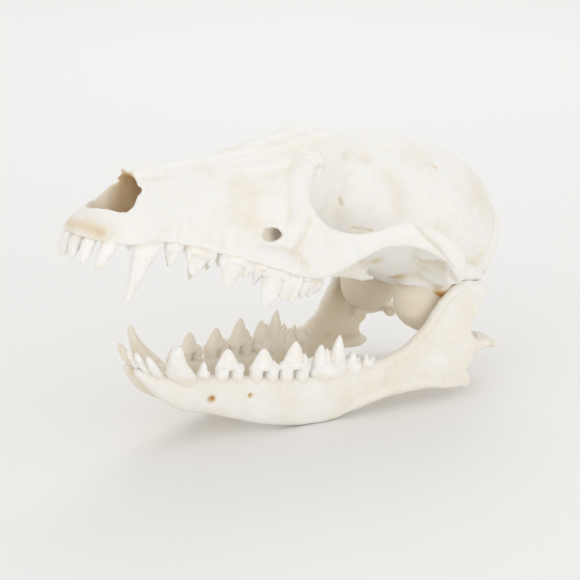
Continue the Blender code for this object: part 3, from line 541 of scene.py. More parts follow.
cranium = {
    "voxel": 0.43,
    "rounding": 9,
    "socketEdge": [  # x, height of the tooth sockets' edge
        (-8.0, 0.4), (8.0, 0.5), (13.0, 1.2), (21.0, 3.0), (40.0, 2.8), (52.0, 2.2), (64.0, 1.2),
        (72.0, 0.2), (80.0, 0.2)],
    "muzzle": [  # x, half-width at top, half-width low, top, bottom
        (-0.6, 1.7, 4.5, 3.1, -4.0), (1.2, 2.8, 7.4, 6.2, -6.0), (4.0, 4.2, 9.6, 8.6, -6.0),
        (8.0, 5.8, 11.0, 12.4, -6.0), (10.6, 5.8, 11.8, 16.2, -6.0), (12.8, 5.2, 12.4, 18.8, -5.6),
        (15.4, 4.8, 13.2, 19.9, -5.0), (24.0, 4.8, 12.4, 22.6, -4.4), (36.0, 6.0, 13.6, 26.4, -4.0),
        (44.0, 8.0, 15.6, 29.2, -4.0), (52.0, 10.0, 17.6, 32.2, -2.0), (58.0, 11.6, 18.0, 34.6, 2.0),
        (62.0, 12.2, 16.2, 36.0, 6.0), (66.0, 12.8, 13.8, 37.0, 11.0), (70.0, 12.6, 12.0, 38.0, 14.0),
        (74.0, 11.6, 10.6, 38.6, 16.0)],
    "toothBed": [
        (26.0, 8.5, 12.2, 10.0, -3.0), (34.0, 10.4, 13.8, 10.0, -3.0), (42.0, 12.2, 16.0, 10.0, -3.0),
        (48.0, 15.0, 18.8, 10.0, -3.0), (54.0, 17.4, 21.8, 10.0, -3.0), (60.0, 18.4, 23.4, 9.0, -3.0),
        (66.0, 17.0, 22.4, 6.8, -3.0), (72.0, 13.6, 19.4, 5.6, -2.6), (76.6, 9.0, 14.0, 4.8, -1.0)],
    "forehead": [
        (42.0, 7.0, 7.6, 27.6, 18.0), (52.0, 10.8, 10.0, 31.8, 16.0), (60.0, 12.8, 9.2, 35.8, 13.0),
        (66.0, 13.6, 9.0, 38.6, 10.0), (72.0, 13.4, 8.8, 41.0, 8.0), (76.0, 12.2, 8.8, 41.6, 8.0),
        (80.0, 11.2, 9.2, 41.4, 8.0), (84.0, 10.8, 9.8, 41.4, 9.0), (88.0, 9.6, 9.4, 41.0, 11.0)],
    "braincase": [
        (76.0, 9.0, 7.0, 39.6, 12.0), (82.0, 11.8, 11.5, 41.4, 9.0), (88.0, 13.4, 14.6, 42.6, 6.6),
        (95.0, 16.4, 18.6, 43.6, 4.4), (104.0, 20.4, 23.6, 44.2, 2.8), (113.0, 21.6, 25.2, 44.2, 2.0),
        (122.0, 20.6, 24.6, 43.2, 2.0), (129.0, 18.0, 22.8, 41.4, 2.4), (135.0, 14.8, 20.6, 39.0, 3.0),
        (140.0, 10.2, 17.4, 35.4, 4.6), (144.0, 5.0, 12.6, 30.0, 7.4)],
    "skullBase": [
        (70.0, 5.0, 6.6, 16.0, 9.0), (84.0, 5.0, 7.0, 15.0, 8.0), (98.0, 7.0, 9.0, 13.0, 4.4),
        (112.0, 8.0, 9.5, 12.0, 1.4), (126.0, 9.0, 10.0, 12.0, 0.6), (136.0, 8.0, 10.0, 13.0, 1.0),
        (140.0, 6.0, 8.0, 12.0, 3.0)],
    "palate": [  # x, half-width at top, half-width low, height of the vault
        (5.0, 3.0, 5.0, 3.6), (16.0, 5.0, 7.4, 4.6), (34.0, 7.0, 8.8, 5.0), (50.0, 9.0, 11.4, 5.2),
        (64.0, 11.0, 13.4, 5.0), (78.0, 10.0, 11.0, 3.4)],
    "noseHollow": [
        (2.8, 1.0, 1.4, 12.0, 7.4), (4.6, 3.2, 3.6, 22.0, 6.9), (6.4, 5.0, 5.6, 22.0, 6.4),
        (9.0, 8.2, 8.6, 22.0, 5.6), (11.4, 8.2, 8.6, 21.0, 5.3), (13.2, 6.4, 7.4, 18.3, 5.2),
        (16.0, 5.2, 7.2, 18.3, 5.2), (26.0, 5.0, 6.8, 21.2, 5.6), (34.0, 4.6, 5.6, 22.4, 6.6),
        (38.0, 2.4, 2.6, 19.0, 11.0)],
    "arch": [  # x, y, upper edge, lower edge, thickness
        (59.6, 13.6, 20.6, 4.0, 4.0), (62.4, 16.8, 21.6, 2.4, 3.4), (65.0, 19.6, 18.4, 1.4, 3.2),
        (68.0, 22.6, 16.3, 1.4, 3.0), (71.5, 25.4, 15.9, 4.0, 2.8), (76.5, 28.6, 17.2, 9.6, 2.5),
        (81.5, 30.8, 20.2, 13.8, 2.4), (87.0, 32.4, 22.6, 15.5, 2.4), (94.0, 34.0, 22.5, 15.6, 2.6),
        (101.0, 35.0, 20.6, 13.6, 2.8), (106.2, 34.8, 18.0, 10.8, 3.0), (110.6, 32.6, 14.6, 8.6, 3.2),
        (113.4, 28.4, 12.8, 7.2, 3.6), (114.6, 23.0, 12.6, 7.0, 4.4), (114.6, 18.0, 13.0, 7.0, 5.0)],
    "pterygoid": [
        (68.0, 10.5, 8.0, 2.0, 2.4), (76.0, 7.8, 10.0, 0.6, 1.7), (84.0, 7.2, 10.0, 0.6, 1.6),
        (92.0, 7.4, 8.0, 1.0, 1.6), (98.0, 8.0, 6.0, 1.0, 1.4)],
    "nuchalCrest": [  # x, y, z, radius
        (142.4, -4.0, 29.4, 2.8), (142.2, 4.0, 29.0, 2.9), (139.6, 10.2, 26.0, 3.2),
        (136.2, 14.6, 20.8, 3.4), (132.6, 17.6, 14.8, 3.4), (129.4, 20.0, 11.4, 3.0)],
    "nasalTip": [
        (12.7, 2.2, 19.0, 0.8), (14.6, 2.5, 19.1, 1.2), (18.0, 2.7, 19.7, 1.4), (23.0, 2.8, 21.2, 1.3)],
    "canineRidge": [
        (17.4, 9.4, 3.0, 3.0), (20.2, 8.2, 7.0, 2.9), (25.0, 6.4, 12.0, 2.0)],
    "postorbital": [
        (61.0, 8.0, 32.6, 3.8), (64.6, 11.0, 33.0, 3.2), (67.4, 13.6, 32.4, 1.5)],
    "orbitWall": [(66.6, 10.4, 31.0, 3.0), (67.6, 9.4, 25.0, 3.2), (69.6, 8.6, 18.0, 2.8)],
    "orbitEdge": [
        (62.6, 10.8, 31.0, 3.8), (61.6, 11.6, 28.0, 3.9), (60.8, 12.4, 25.0, 3.9), (60.4, 13.8, 22.0, 3.7),
        (60.6, 15.6, 19.0, 3.2), (60.6, 16.6, 16.0, 3.0), (59.6, 16.6, 12.0, 2.8), (58.6, 16.4, 8.0, 2.2)],
    "nasalSlit": [
        (11.0, 6.8, 14.0, 1.0), (13.8, 6.6, 15.4, 0.9), (16.0, 6.6, 16.5, 0.75), (18.4, 6.3, 17.6, 0.55)],
    "earFloor": [(116.0, 20.2, 6.0, 3.0), (122.0, 19.6, 3.6, 3.2), (129.0, 18.6, 4.0, 3.2)],
    "jointLip": [(112.2, 17.0, 8.8, 2.6), (112.2, 24.0, 8.0, 2.5), (111.0, 30.0, 9.2, 2.1)],
    "jointSocket": [
        (105.6, 20.0, 9.6, 2.6), (106.0, 25.0, 9.8, 3.6), (105.4, 30.5, 10.4, 2.8)],
    "earBase": [(115.0, 21.0, 10.0, 2.8), (122.0, 22.2, 10.3, 2.8), (129.0, 21.4, 10.3, 2.6)],
    "paroccipital": [(131.0, 17.0, 8.0, 3.4), (130.0, 17.4, 0.0, 2.4), (129.0, 17.2, -5.0, 1.2)],
    "hamulus": [
        (94.0, 7.6, 2.8, 1.0), (98.6, 8.2, 2.6, 0.9), (101.0, 8.6, 2.6, 0.6)],
    "infraorbital": [
        (49.4, 20.4, 10.0, 1.1), (52.0, 16.8, 10.4, 1.4), (57.0, 14.8, 11.2, 1.8), (67.0, 12.4, 13.4, 2.0)],
    "jointShelf": ((109.4, 23.6, 13.4), (6.8, 7.4, 4.2)),   # centre, radii
    "condyle": ((139.4, 7.2, 6.6), (4.6, 4.6, 5.6)),
    "collar": (120.0, 13.2, 3.4, -0.4),   # place of the bone that carries the bulla, and its growth past it
    "emptySocket": [(14.6, 10.9, -1.5, 2.3), (16.6, 10.3, 2.4, 2.2), (20.2, 8.9, 7.4, 1.3)],
    "softness": ((9, 3, 0.10), (4, 4, 0.04)),   # length, seed and height of the skin's unevenness
    "frontalCut": 88.0,
    "cheekFront": (73.4, 12.6, -38.0),   # x, z on the suture and its lean, in degrees
    "cheekBack": (98.2, 16.8, 38.0),
    "sutureGap": 0.012,
}
bulla = {"radii": (11.4, 7.5, 9.6), "turn": 12.0, "voxel": 0.3,
         "earHole": [(121.5, 26.0, 6.6, 1.9), (121.2, 19.0, 4.6, 1.8), (120.6, 15.0, 3.4, 1.4)]}

# name: (path, axes that count, gate, height, width, tint, wander)
craniumMarks = {
    "nasalMidline": ([(16, 0, 0), (40, 0, 0), (68, 0, 0)], crown, 14, -0.12, 0.34, 0.02, 0.1),
    "nasalEdge": ([(17, 4.5, 0), (25, 4.3, 0), (34, 4.1, 0), (44, 3.9, 0), (54, 3.4, 0), (62, 2.4, 0),
                   (67, 0.8, 0)], crown, 14, -0.12, 0.34, 0.02, 0.08),
    "premaxilla": ([(15.7, 3.9, 18.5), (17.1, 6.4, 15.7), (17.2, 8.8, 12.1), (15.2, 10.6, 7.6),
                    (13.9, 11.4, 3.3), (13.5, 11.8, 0.6)], flank, 3, -0.05, 0.4, 0.01, 0.1),
    "premaxillaTongue": ([(16.8, 0, 16.4), (25, 0, 19.4), (35, 0, 22.4)],
                         flank, 4.2, -0.05, 0.4, 0.01, 0.1),
    "foreheadSuture": ([(67, 0.8, 0), (65.5, 4, 0), (63, 7, 0), (61.5, 10.5, 0)],
                       crown, 20, -0.06, 0.34, 0.02, 0.15),
    "frontalMidline": ([(68, 0, 0), (86, 0, 0), (103, 0, 0)], crown, 30, -0.07, 0.4, 0.02, 0.15),
    "coronal": ([(103, 0, 44.2), (104, 8, 43), (104.6, 14, 39.8), (104.6, 17.8, 35.9), (103.5, 20, 31.7),
                 (103.5, 21.6, 26.1), (103.8, 22.2, 21.5)], space, 0, -0.14, 0.36, 0.05, 0.3),
    "squamosal": ([(92, 16, 17.5), (96, 18.2, 24.5), (103.5, 21.6, 28.6), (112, 24, 28.4), (121, 23.6, 25.6),
                   (128, 22, 21), (133, 19.5, 16)], space, 0, -0.1, 0.4, 0.04, 0.3),
    "sagittal": ([(104, 0, 0), (122, 0, 0), (141, 0, 0)], crown, 28, -0.14, 0.4, 0.04, 0.3),
    "cheekSuture": ([(59.4, 0, 17.5), (58.0, 0, 12), (58.6, 0, 7.6), (62, 0, 5.3), (66.6, 0, 4.2),
                     (71, 0, 3.4)], flank, 14, -0.1, 0.36, 0.02, 0.25),
    "jugalTail": ([(88.2, 0, 22.4), (91, 0, 20.1), (95, 0, 18.0), (99, 0, 15.6), (104.5, 0, 12.4)],
                  flank, 30, -0.6, 0.55, 0.10, 0.1),
    "jugalTailLip": ([(90.5, 0, 21.8), (95, 0, 19.6), (99.2, 0, 17.2), (104.6, 0, 14.1)],
                     flank, 30, 0.4, 0.8, 0.03, 0),
    "orbitRim": ([(65.4, 9.8, 36.4), (66.2, 13.4, 33.6), (67.2, 12.8, 30.6), (65.8, 12.6, 26.8),
                  (62.6, 15, 22.6), (61.6, 17.2, 19.6), (63.1, 19.2, 18), (65.5, 21.2, 16.6)],
                 space, 0, 0.35, 0.9, 0.0, 0),
    "templeLine": ([(67, 13.2, 34.6), (71, 12.4, 38), (78, 10, 41.4), (88, 8, 43), (104, 5.6, 44.3),
                    (125, 4.4, 42.9), (137, 5, 37.5)], space, 0, 0.3, 0.9, 0.0, 0),
    "foreheadDimple": ([(62.5, 8.6, 36.2), (65.0, 9.2, 37.0)], space, 0, -0.5, 2.6, 0.0, 0),
    "browFurrow": ([(56, 0, 0), (68, 0, 0), (76, 0, 0)], crown, 28, -0.5, 3.0, 0.0, 0),
    "preorbitalDip": ([(42, 13.4, 16.5), (47, 14.6, 13.8), (51, 16, 11.6)], space, 0, -1.0, 3.4, 0.0, 0),
    "cheekRidge": ([(58.0, 17.6, 14), (56.2, 17.6, 9.8), (54.7, 18.8, 7.0), (53.6, 20.0, 4.2)],
                   space, 0, 0.5, 1.3, 0.0, 0),
    # the next four marks are shallow grooves whose tints are painted shade inside small openings; at the
    # infraorbital canal the tint is also a tan stain
    "orbitSlit": ([(79.2, 10, 23.6), (80.4, 10.3, 21.8)], space, 0, -0.8, 0.42, 0.5, 0),
    "canalStainAndShade": ([(51.6, 17.2, 10.4), (56.0, 15.2, 11.0)], space, 0, 0.0, 1.4, 0.6, 0),
    "archSlit": ([(85, 11.6, 16.2), (90.4, 14.2, 16.7)], space, 0, -0.4, 0.34, 0.62, 0),
    "veinHoleOne": ([(105.9, 15.3, 39.0), (107.6, 15.8, 38.4)], space, 0, -0.3, 0.5, 0.6, 0),
    # the tints of the next two dips, at the temple and the brow, are painted shade
    "templeDip": ([(91.5, 14.8, 34), (94.6, 16, 29.3), (96.8, 16.6, 23.2)], space, 0, -1.3, 3.0, 0.12, 0),
    "browDip": ([(78.0, 11.4, 35.8), (80, 11.2, 37.2), (85.5, 11, 36.8)], space, 0, -0.9, 2.4, 0.14, 0),
    "sphenoidSpot": ([(96.7, 17, 8.1), (96.7, 9, 8.1)], space, 0, -0.4, 1.2, 0.42, 0),
    "baseSpot": ([(107.2, 18, 4.6), (107.6, 9, 4.2)], space, 0, -0.3, 1.5, 0.62, 0),
    "earStain": ([(116.6, 21.0, 2.6), (120.0, 22.0, 3.6), (126.0, 21.4, 3.0)], space, 0, 0.0, 2.6, 0.85, 0),
    # the joint socket's tint is painted shade
    "jointHollow": ([(107.4, 20, 11.0), (107.2, 27, 11.4)], space, 0, 0.0, 3.4, 0.13, 0),
    "mastoid": ([(124.8, 24.2, 9.6), (130.6, 22.0, 11.4)], space, 0, 0.2, 1.6, 0.05, 0),
    "incisorStain": ([(-0.6, 0, 2.6), (1.0, 3.4, 2.8), (4.2, 7.6, 2.4)], space, 0, 0.0, 1.7, 0.42, 0),
    "muzzleStain": ([(2.4, 7.0, 4.6), (7.0, 10.0, 4.2)], space, 0, 0.0, 3.0, 0.10, 0),
    # this hole's tint is painted shade inside the opening
    "incisiveHole": ([(9.0, 2.6, 3.8), (14.0, 2.9, 4.6)], space, 0, -1.0, 0.9, 0.35, 0),
}
upperRoots = {"places": [(24.8, 11.4), (28.0, 11.8), (31.6, 12.2), (37.4, 13.6), (41.8, 14.8), (47.6, 17.0),
                         (52.4, 18.8), (60.6, 21.6), (66.0, 20.8)],
              "foot": 3.4, "head": 7.5, "height": 0.28, "width": 1.2}
for number, (x, y) in enumerate(upperRoots["places"]):
    craniumMarks["root%d" % number] = (
        [(x, y, upperRoots["foot"]), (x + 0.4, y - 1.2, upperRoots["head"])], space, 0,
        upperRoots["height"], upperRoots["width"], 0.0, 0)


def craniumForms():
    part = cranium
    forms = [
        barrel(part["muzzle"], power=2.5, floorPower=4, taper=1.8),
        barrel(part["toothBed"], power=3, floorPower=4, taper=1.8),
        barrel(part["forehead"], power=3.6),
        barrel(part["braincase"], power=2.15, steps=72, around=80),
        barrel(part["skullBase"], power=3),
        egg((136.0, 0, 8.0), (6.0, 9.0, 6.5)),
    ]
    hollows = [
        barrel([(x, 60, 60, z, -30) for x, z in part["socketEdge"]], power=8),
        barrel([(x, top, low, z, z - 16) for x, top, low, z in part["palate"]], power=4),
        barrel(part["noseHollow"], power=2.4),
        egg((143.0, 0, 11.0), (16.0, 6.2, 5.6), tip=14),
        rod(part["emptySocket"], 1),
    ]
    for side in (-1, 1):
        forms += [blade(part["arch"], side, steps=90), blade(part["pterygoid"], side)]
        forms += [rod(part[name], side) for name in (
            "canineRidge", "nuchalCrest", "jointLip", "earBase", "paroccipital", "hamulus", "nasalTip",
            "orbitWall", "orbitEdge", "earFloor")]
        forms.append(rod(part["postorbital"], side, flat=0.6))
        for name, turn in (("jointShelf", 0), ("condyle", side * 20)):
            (x, y, z), radii = part[name]
            forms.append(egg((x, side * y, z), radii, turn=turn))
        forms.append(egg((part["collar"][0], side * part["collar"][1], part["collar"][2]),
                         [r + part["collar"][3] for r in bulla["radii"]], turn=side * bulla["turn"]))
        hollows += [rod(part[name], side) for name in ("infraorbital", "jointSocket", "nasalSlit")]
    return forms, hollows


def toneOfCranium(points, normals, tone):
    # the nose's inside is tinted tan, with painted shade growing darker further in; the inside of the
    # braincase's opening gets painted shade
    axis = np.array([(4, 0, 9.5), (12, 0, 12), (26, 0, 13), (37, 0, 15)], float)
    heart = np.column_stack([
        points[:, 0] - 1.0, np.zeros(len(points)), np.interp(points[:, 0], axis[:, 0], axis[:, 2])])
    facing = ((heart - points) * normals).sum(axis=1)
    inside = np.clip(facing / 2.0, 0, 1) * hill(np.abs(points[:, 1]), 9)
    inside *= (points[:, 0] < 39) * (points[:, 2] > 4.6)
    inside *= np.clip((points[:, 0] - 1.0) / 4.0, 0, 1)
    # tan tint that rises to painted shade deeper in the nose
    tone += inside * np.clip(0.16 + 0.05 * (points[:, 0] - 5), 0.16, 0.76)
    # painted shade inside the braincase's opening
    spine = pathDistance(points, [(132, 0, 9.5), (150, 0, 11)], np.array(space, float))
    inward = np.clip((6.5 - spine) / 2, 0, 1) * (points[:, 0] < 141)
    tone += inward * 0.55
    return tone


def makeCranium():
    forms, hollows = craniumForms()
    bone = grown("cranium", forms, hollows, cranium["voxel"], cranium["rounding"])
    mesh = bone.data
    points, normals = readPoints(mesh), readNormals(mesh)
    soft = unevenness(points, cranium["softness"])
    points = points + normals * soft[:, None]
    points = markedPoints(points, normals, craniumMarks, np.zeros(len(points)))
    writePoints(mesh, points)
    print("cranium grown", len(points), "points")
    cutCranium(bone)


def slab(low, high, tip):
    # thin closed box between two corners, tipped about y through its middle
    work = bmesh.new()
    bmesh.ops.create_cube(work, size=1)
    low, high = Vector(low), Vector(high)
    bmesh.ops.scale(work, vec=high - low, verts=work.verts)
    turn = Matrix.Rotation(math.radians(tip), 3, "Y")
    bmesh.ops.rotate(work, cent=(0, 0, 0), matrix=turn, verts=work.verts)
    bmesh.ops.translate(work, vec=(low + high) / 2, verts=work.verts)
    points = np.array([vert.co[:] for vert in work.verts])
    faces = [[vert.index for vert in face.verts] for face in work.faces]
    work.free()
    return points, faces


def cutCranium(bone):
    # parts the bones along their sutures and seats the bullae, then finishes each bone as its own piece
    half = cranium["sutureGap"] / 2
    x = cranium["frontalCut"]
    slabs = [slab((x - half, -24, -8), (x + half, 24, 60), 0)]
    centre = Vector(skullPose["bullaCentre"])
    for side in (-1, 1):
        x, z, lean = cranium["cheekFront"]
        low, high = sorted((side * 20.5, side * 40.0))
        slabs.append(slab((x - half, low, z - 14), (x + half, high, z + 14), lean))
        x, z, slope = cranium["cheekBack"]
        low, high = sorted((side * 30.0, side * 40.0))
        slabs.append(slab((x - 14, low, z - half), (x + 14, high, z + half), slope))
    takeAway(bone, objectFrom("sutures", slabs))
    for side in (-1, 1):
        seat = egg((centre.x, side * abs(centre.y), centre.z), [r + 0.12 for r in bulla["radii"]],
                   turn=side * bulla["turn"])
        takeAway(bone, objectFrom("seat", [seat]))
    for name, node, piece in namedBones(bone):
        paintBone(piece)
        finishPiece(piece, name, craniumPlace, [node], headBone, tonesOf(piece))


def surfaceLabels(mesh):
    # every closed surface's points get the same number, passed along the edges until nothing changes
    edges = np.empty(len(mesh.edges) * 2, dtype=np.int32)
    mesh.edges.foreach_get("vertices", edges)
    a, b = edges[0::2], edges[1::2]
    label = np.arange(len(mesh.vertices))
    while True:
        low = np.minimum(label[a], label[b])
        new = label.copy()
        np.minimum.at(new, a, low)
        np.minimum.at(new, b, low)
        new = new[new]
        new = new[new]
        if np.array_equal(new, label):
            return label
        label = new


def pieceFrom(mesh, name, keep):
    # new object from the faces whose points are all kept
    loops = np.empty(len(mesh.loops), dtype=np.int32)
    mesh.loops.foreach_get("vertex_index", loops)
    starts = np.empty(len(mesh.polygons), dtype=np.int32)
    mesh.polygons.foreach_get("loop_start", starts)
    totals = np.empty(len(mesh.polygons), dtype=np.int32)
    mesh.polygons.foreach_get("loop_total", totals)
    kept = keep[loops[starts]]
    number = np.cumsum(keep) - 1
    wanted = np.repeat(kept, totals)
    made = bpy.data.meshes.new(name)
    made.vertices.add(int(keep.sum()))
    made.vertices.foreach_set("co", (readPoints(mesh)[keep] * mm).astype(np.float32).ravel())
    made.loops.add(int(wanted.sum()))
    made.loops.foreach_set("vertex_index", number[loops[wanted]].astype(np.int32))
    made.polygons.add(int(kept.sum()))
    made.polygons.foreach_set("loop_start", (np.cumsum(totals[kept]) - totals[kept]).astype(np.int32))
    made.update(calc_edges=True)
    made.validate()
    piece = bpy.data.objects.new(name, made)
    workshop.objects.link(piece)
    return piece


def namedBones(bone):
    # the largest closed surface in each region, by its middle
    label = surfaceLabels(bone.data)
    points = readPoints(bone.data)
    found = {}
    for mark in np.unique(label):
        keep = label == mark
        low, high = points[keep].min(axis=0), points[keep].max(axis=0)
        middle = (low + high) / 2
        if abs(middle[1]) > 12:
            node = "cheekbone_left" if middle[1] < 0 else "cheekbone_right"
        else:
            node = "braincase" if middle[0] > cranium["frontalCut"] else "snout"
        if keep.sum() > found.get(node, (0,))[0]:
            found[node] = (keep.sum(), keep)
    names = {"snout": "snoutBone", "braincase": "braincaseBone", "cheekbone_left": "cheekboneLeft",
             "cheekbone_right": "cheekboneRight"}
    pieces = [(names[node], node, pieceFrom(bone.data, node, keep)) for node, (size, keep) in found.items()]
    bpy.data.objects.remove(bone, do_unlink=True)
    return pieces


boneTones = {}


def paintBone(piece):
    points, normals = readPoints(piece.data), readNormals(piece.data)
    tone = np.zeros(len(points))
    markedPoints(points, normals, craniumMarks, tone)
    boneTones[piece.name] = toneOfCranium(points, normals, tone)


def tonesOf(piece):
    # painted shade in hollows, from how far the smoothed surface stands above the real one
    hollowShade = hollowness(piece.data, 24, 0.28) * 0.75 + hollowness(piece.data, 4, 0.10) * 0.35
    return {"tone": boneTones[piece.name], "hollowShade": np.clip(hollowShade - 0.08, 0, 1)}


makeCranium()


def makeBulla(side, nodeSide):
    x, y, z = skullPose["bullaCentre"]
    centre = (x, side * abs(y), z)
    forms = [egg(centre, bulla["radii"], turn=side * bulla["turn"])]
    shell = grown("bulla", forms, [rod(bulla["earHole"], side)], bulla["voxel"], 6)
    points, normals = readPoints(shell.data), readNormals(shell.data)
    points = points - normals * 0.05 + normals * (noiseField(points, 6, 8) * 0.12)[:, None]
    marks = {"rib": ([(110, 10, -6), (118, 9.4, -9), (127, 11, -7)], space, 0, 0.15, 1.4, 0.0, 0)}
    tone = np.zeros(len(points))
    points = markedPoints(points, normals, marks, tone)
    writePoints(shell.data, points)
    mirrored = np.column_stack([points[:, 0], abs(points[:, 1]), points[:, 2]])
    hole = np.array([row[:3] for row in bulla["earHole"]])
    # painted shade in and around the ear hole
    tone += 0.85 * hill(pathDistance(mirrored, hole, np.array(space, float)), 2.3)
    # tan tint rising towards the top and a tan base; the far bulla's extra 0.10 is painted shade
    tone += 0.16 * np.clip((points[:, 2] - 1.0) / 8.0, 0, 1) + (0.34 if side > 0 else 0.24)
    tone += 0.3 * hill(pathDistance(mirrored, [(124, 17, -8), (128, 19, -2)], np.array(space, float)), 6)
    # painted shade in hollows
    hollowShade = np.clip(hollowness(shell.data, 10, 0.2), 0, 1)
    finishPiece(shell, "bullaLeft" if side < 0 else "bullaRight", craniumPlace, ["ear_bulla_" + nodeSide],
                bullaBone, {"tone": tone, "hollowShade": hollowShade})


makeBulla(-1, "left")
makeBulla(1, "right")


# Teeth

def toothTurn(front, back, side):
    return math.degrees(math.atan2(side * (back[1] - front[1]), back[0] - front[0]))


def cheekTooth(tooth, side, down):
    # one premolar or molar as overlapping cusps, a belt at the gum and roots that lean into the bone
    front, back, gum, width = tooth["front"], tooth["back"], tooth["gum"], tooth["width"]
    length = math.hypot(back[0] - front[0], back[1] - front[1])
    turn = toothTurn(front, back, side)
    way = np.array([(back[0] - front[0]) / length, (back[1] - front[1]) / length])
    out = np.array([-way[1], way[0]])
    sign = -1 if down else 1

    def at(part, aside, rise):
        x, y = np.array(front) + way * length * part + out * aside
        return (x, side * y, gum + sign * rise)

    surfaces = []
    for part, aside, rise, long, wide, full in tooth["cusps"]:
        foot = 0.4 * part + 0.6 * tooth.get("middle", part)
        base = at(foot if full < 1.5 else part, aside * 0.8, tooth.get("foot", -0.6))
        surfaces.append(spike(base, at(part, aside, rise), long * length, wide * width, turn, full))
    for part, aside, rise, radii in tooth.get("belts", [(0.5, 0.0, 0.5, (0.5, 0.48, 1.15))]):
        size = (radii[0] * length, radii[1] * width, radii[2])
        surfaces.append(egg(at(part, aside, rise), size, turn=turn))
    for part, aside, radius in tooth.get("roots", [(0.22, 0.0, 0.19), (0.78, 0.0, 0.19)]):
        thick = radius * min(length, 9.0)
        lean = -1.8 if down else -0.3
        surfaces.append(rod([
            (*at(part, aside, tooth.get("foot", 0.8) + 0.6), thick),
            (*at(part, aside + lean * 0.3, -1.2), thick * 0.9),
            (*at(part, aside + lean, -4.2), thick * 0.6)], steps=10))
    return surfaces


def peg(rows, side):
    # canine or incisor: ellipses carried along a bent path; rows: x, y, z, half-length, half-width
    x, y, z, long, wide = alongRows(rows, 3, 22).T
    across, up = roundSection(20, 2.1)
    ring = np.stack([x[:, None] + across * long[:, None], side * (y[:, None] + up * wide[:, None]),
                     np.broadcast_to(z[:, None], (22, 20))], axis=2)
    return ringLoft(ring)


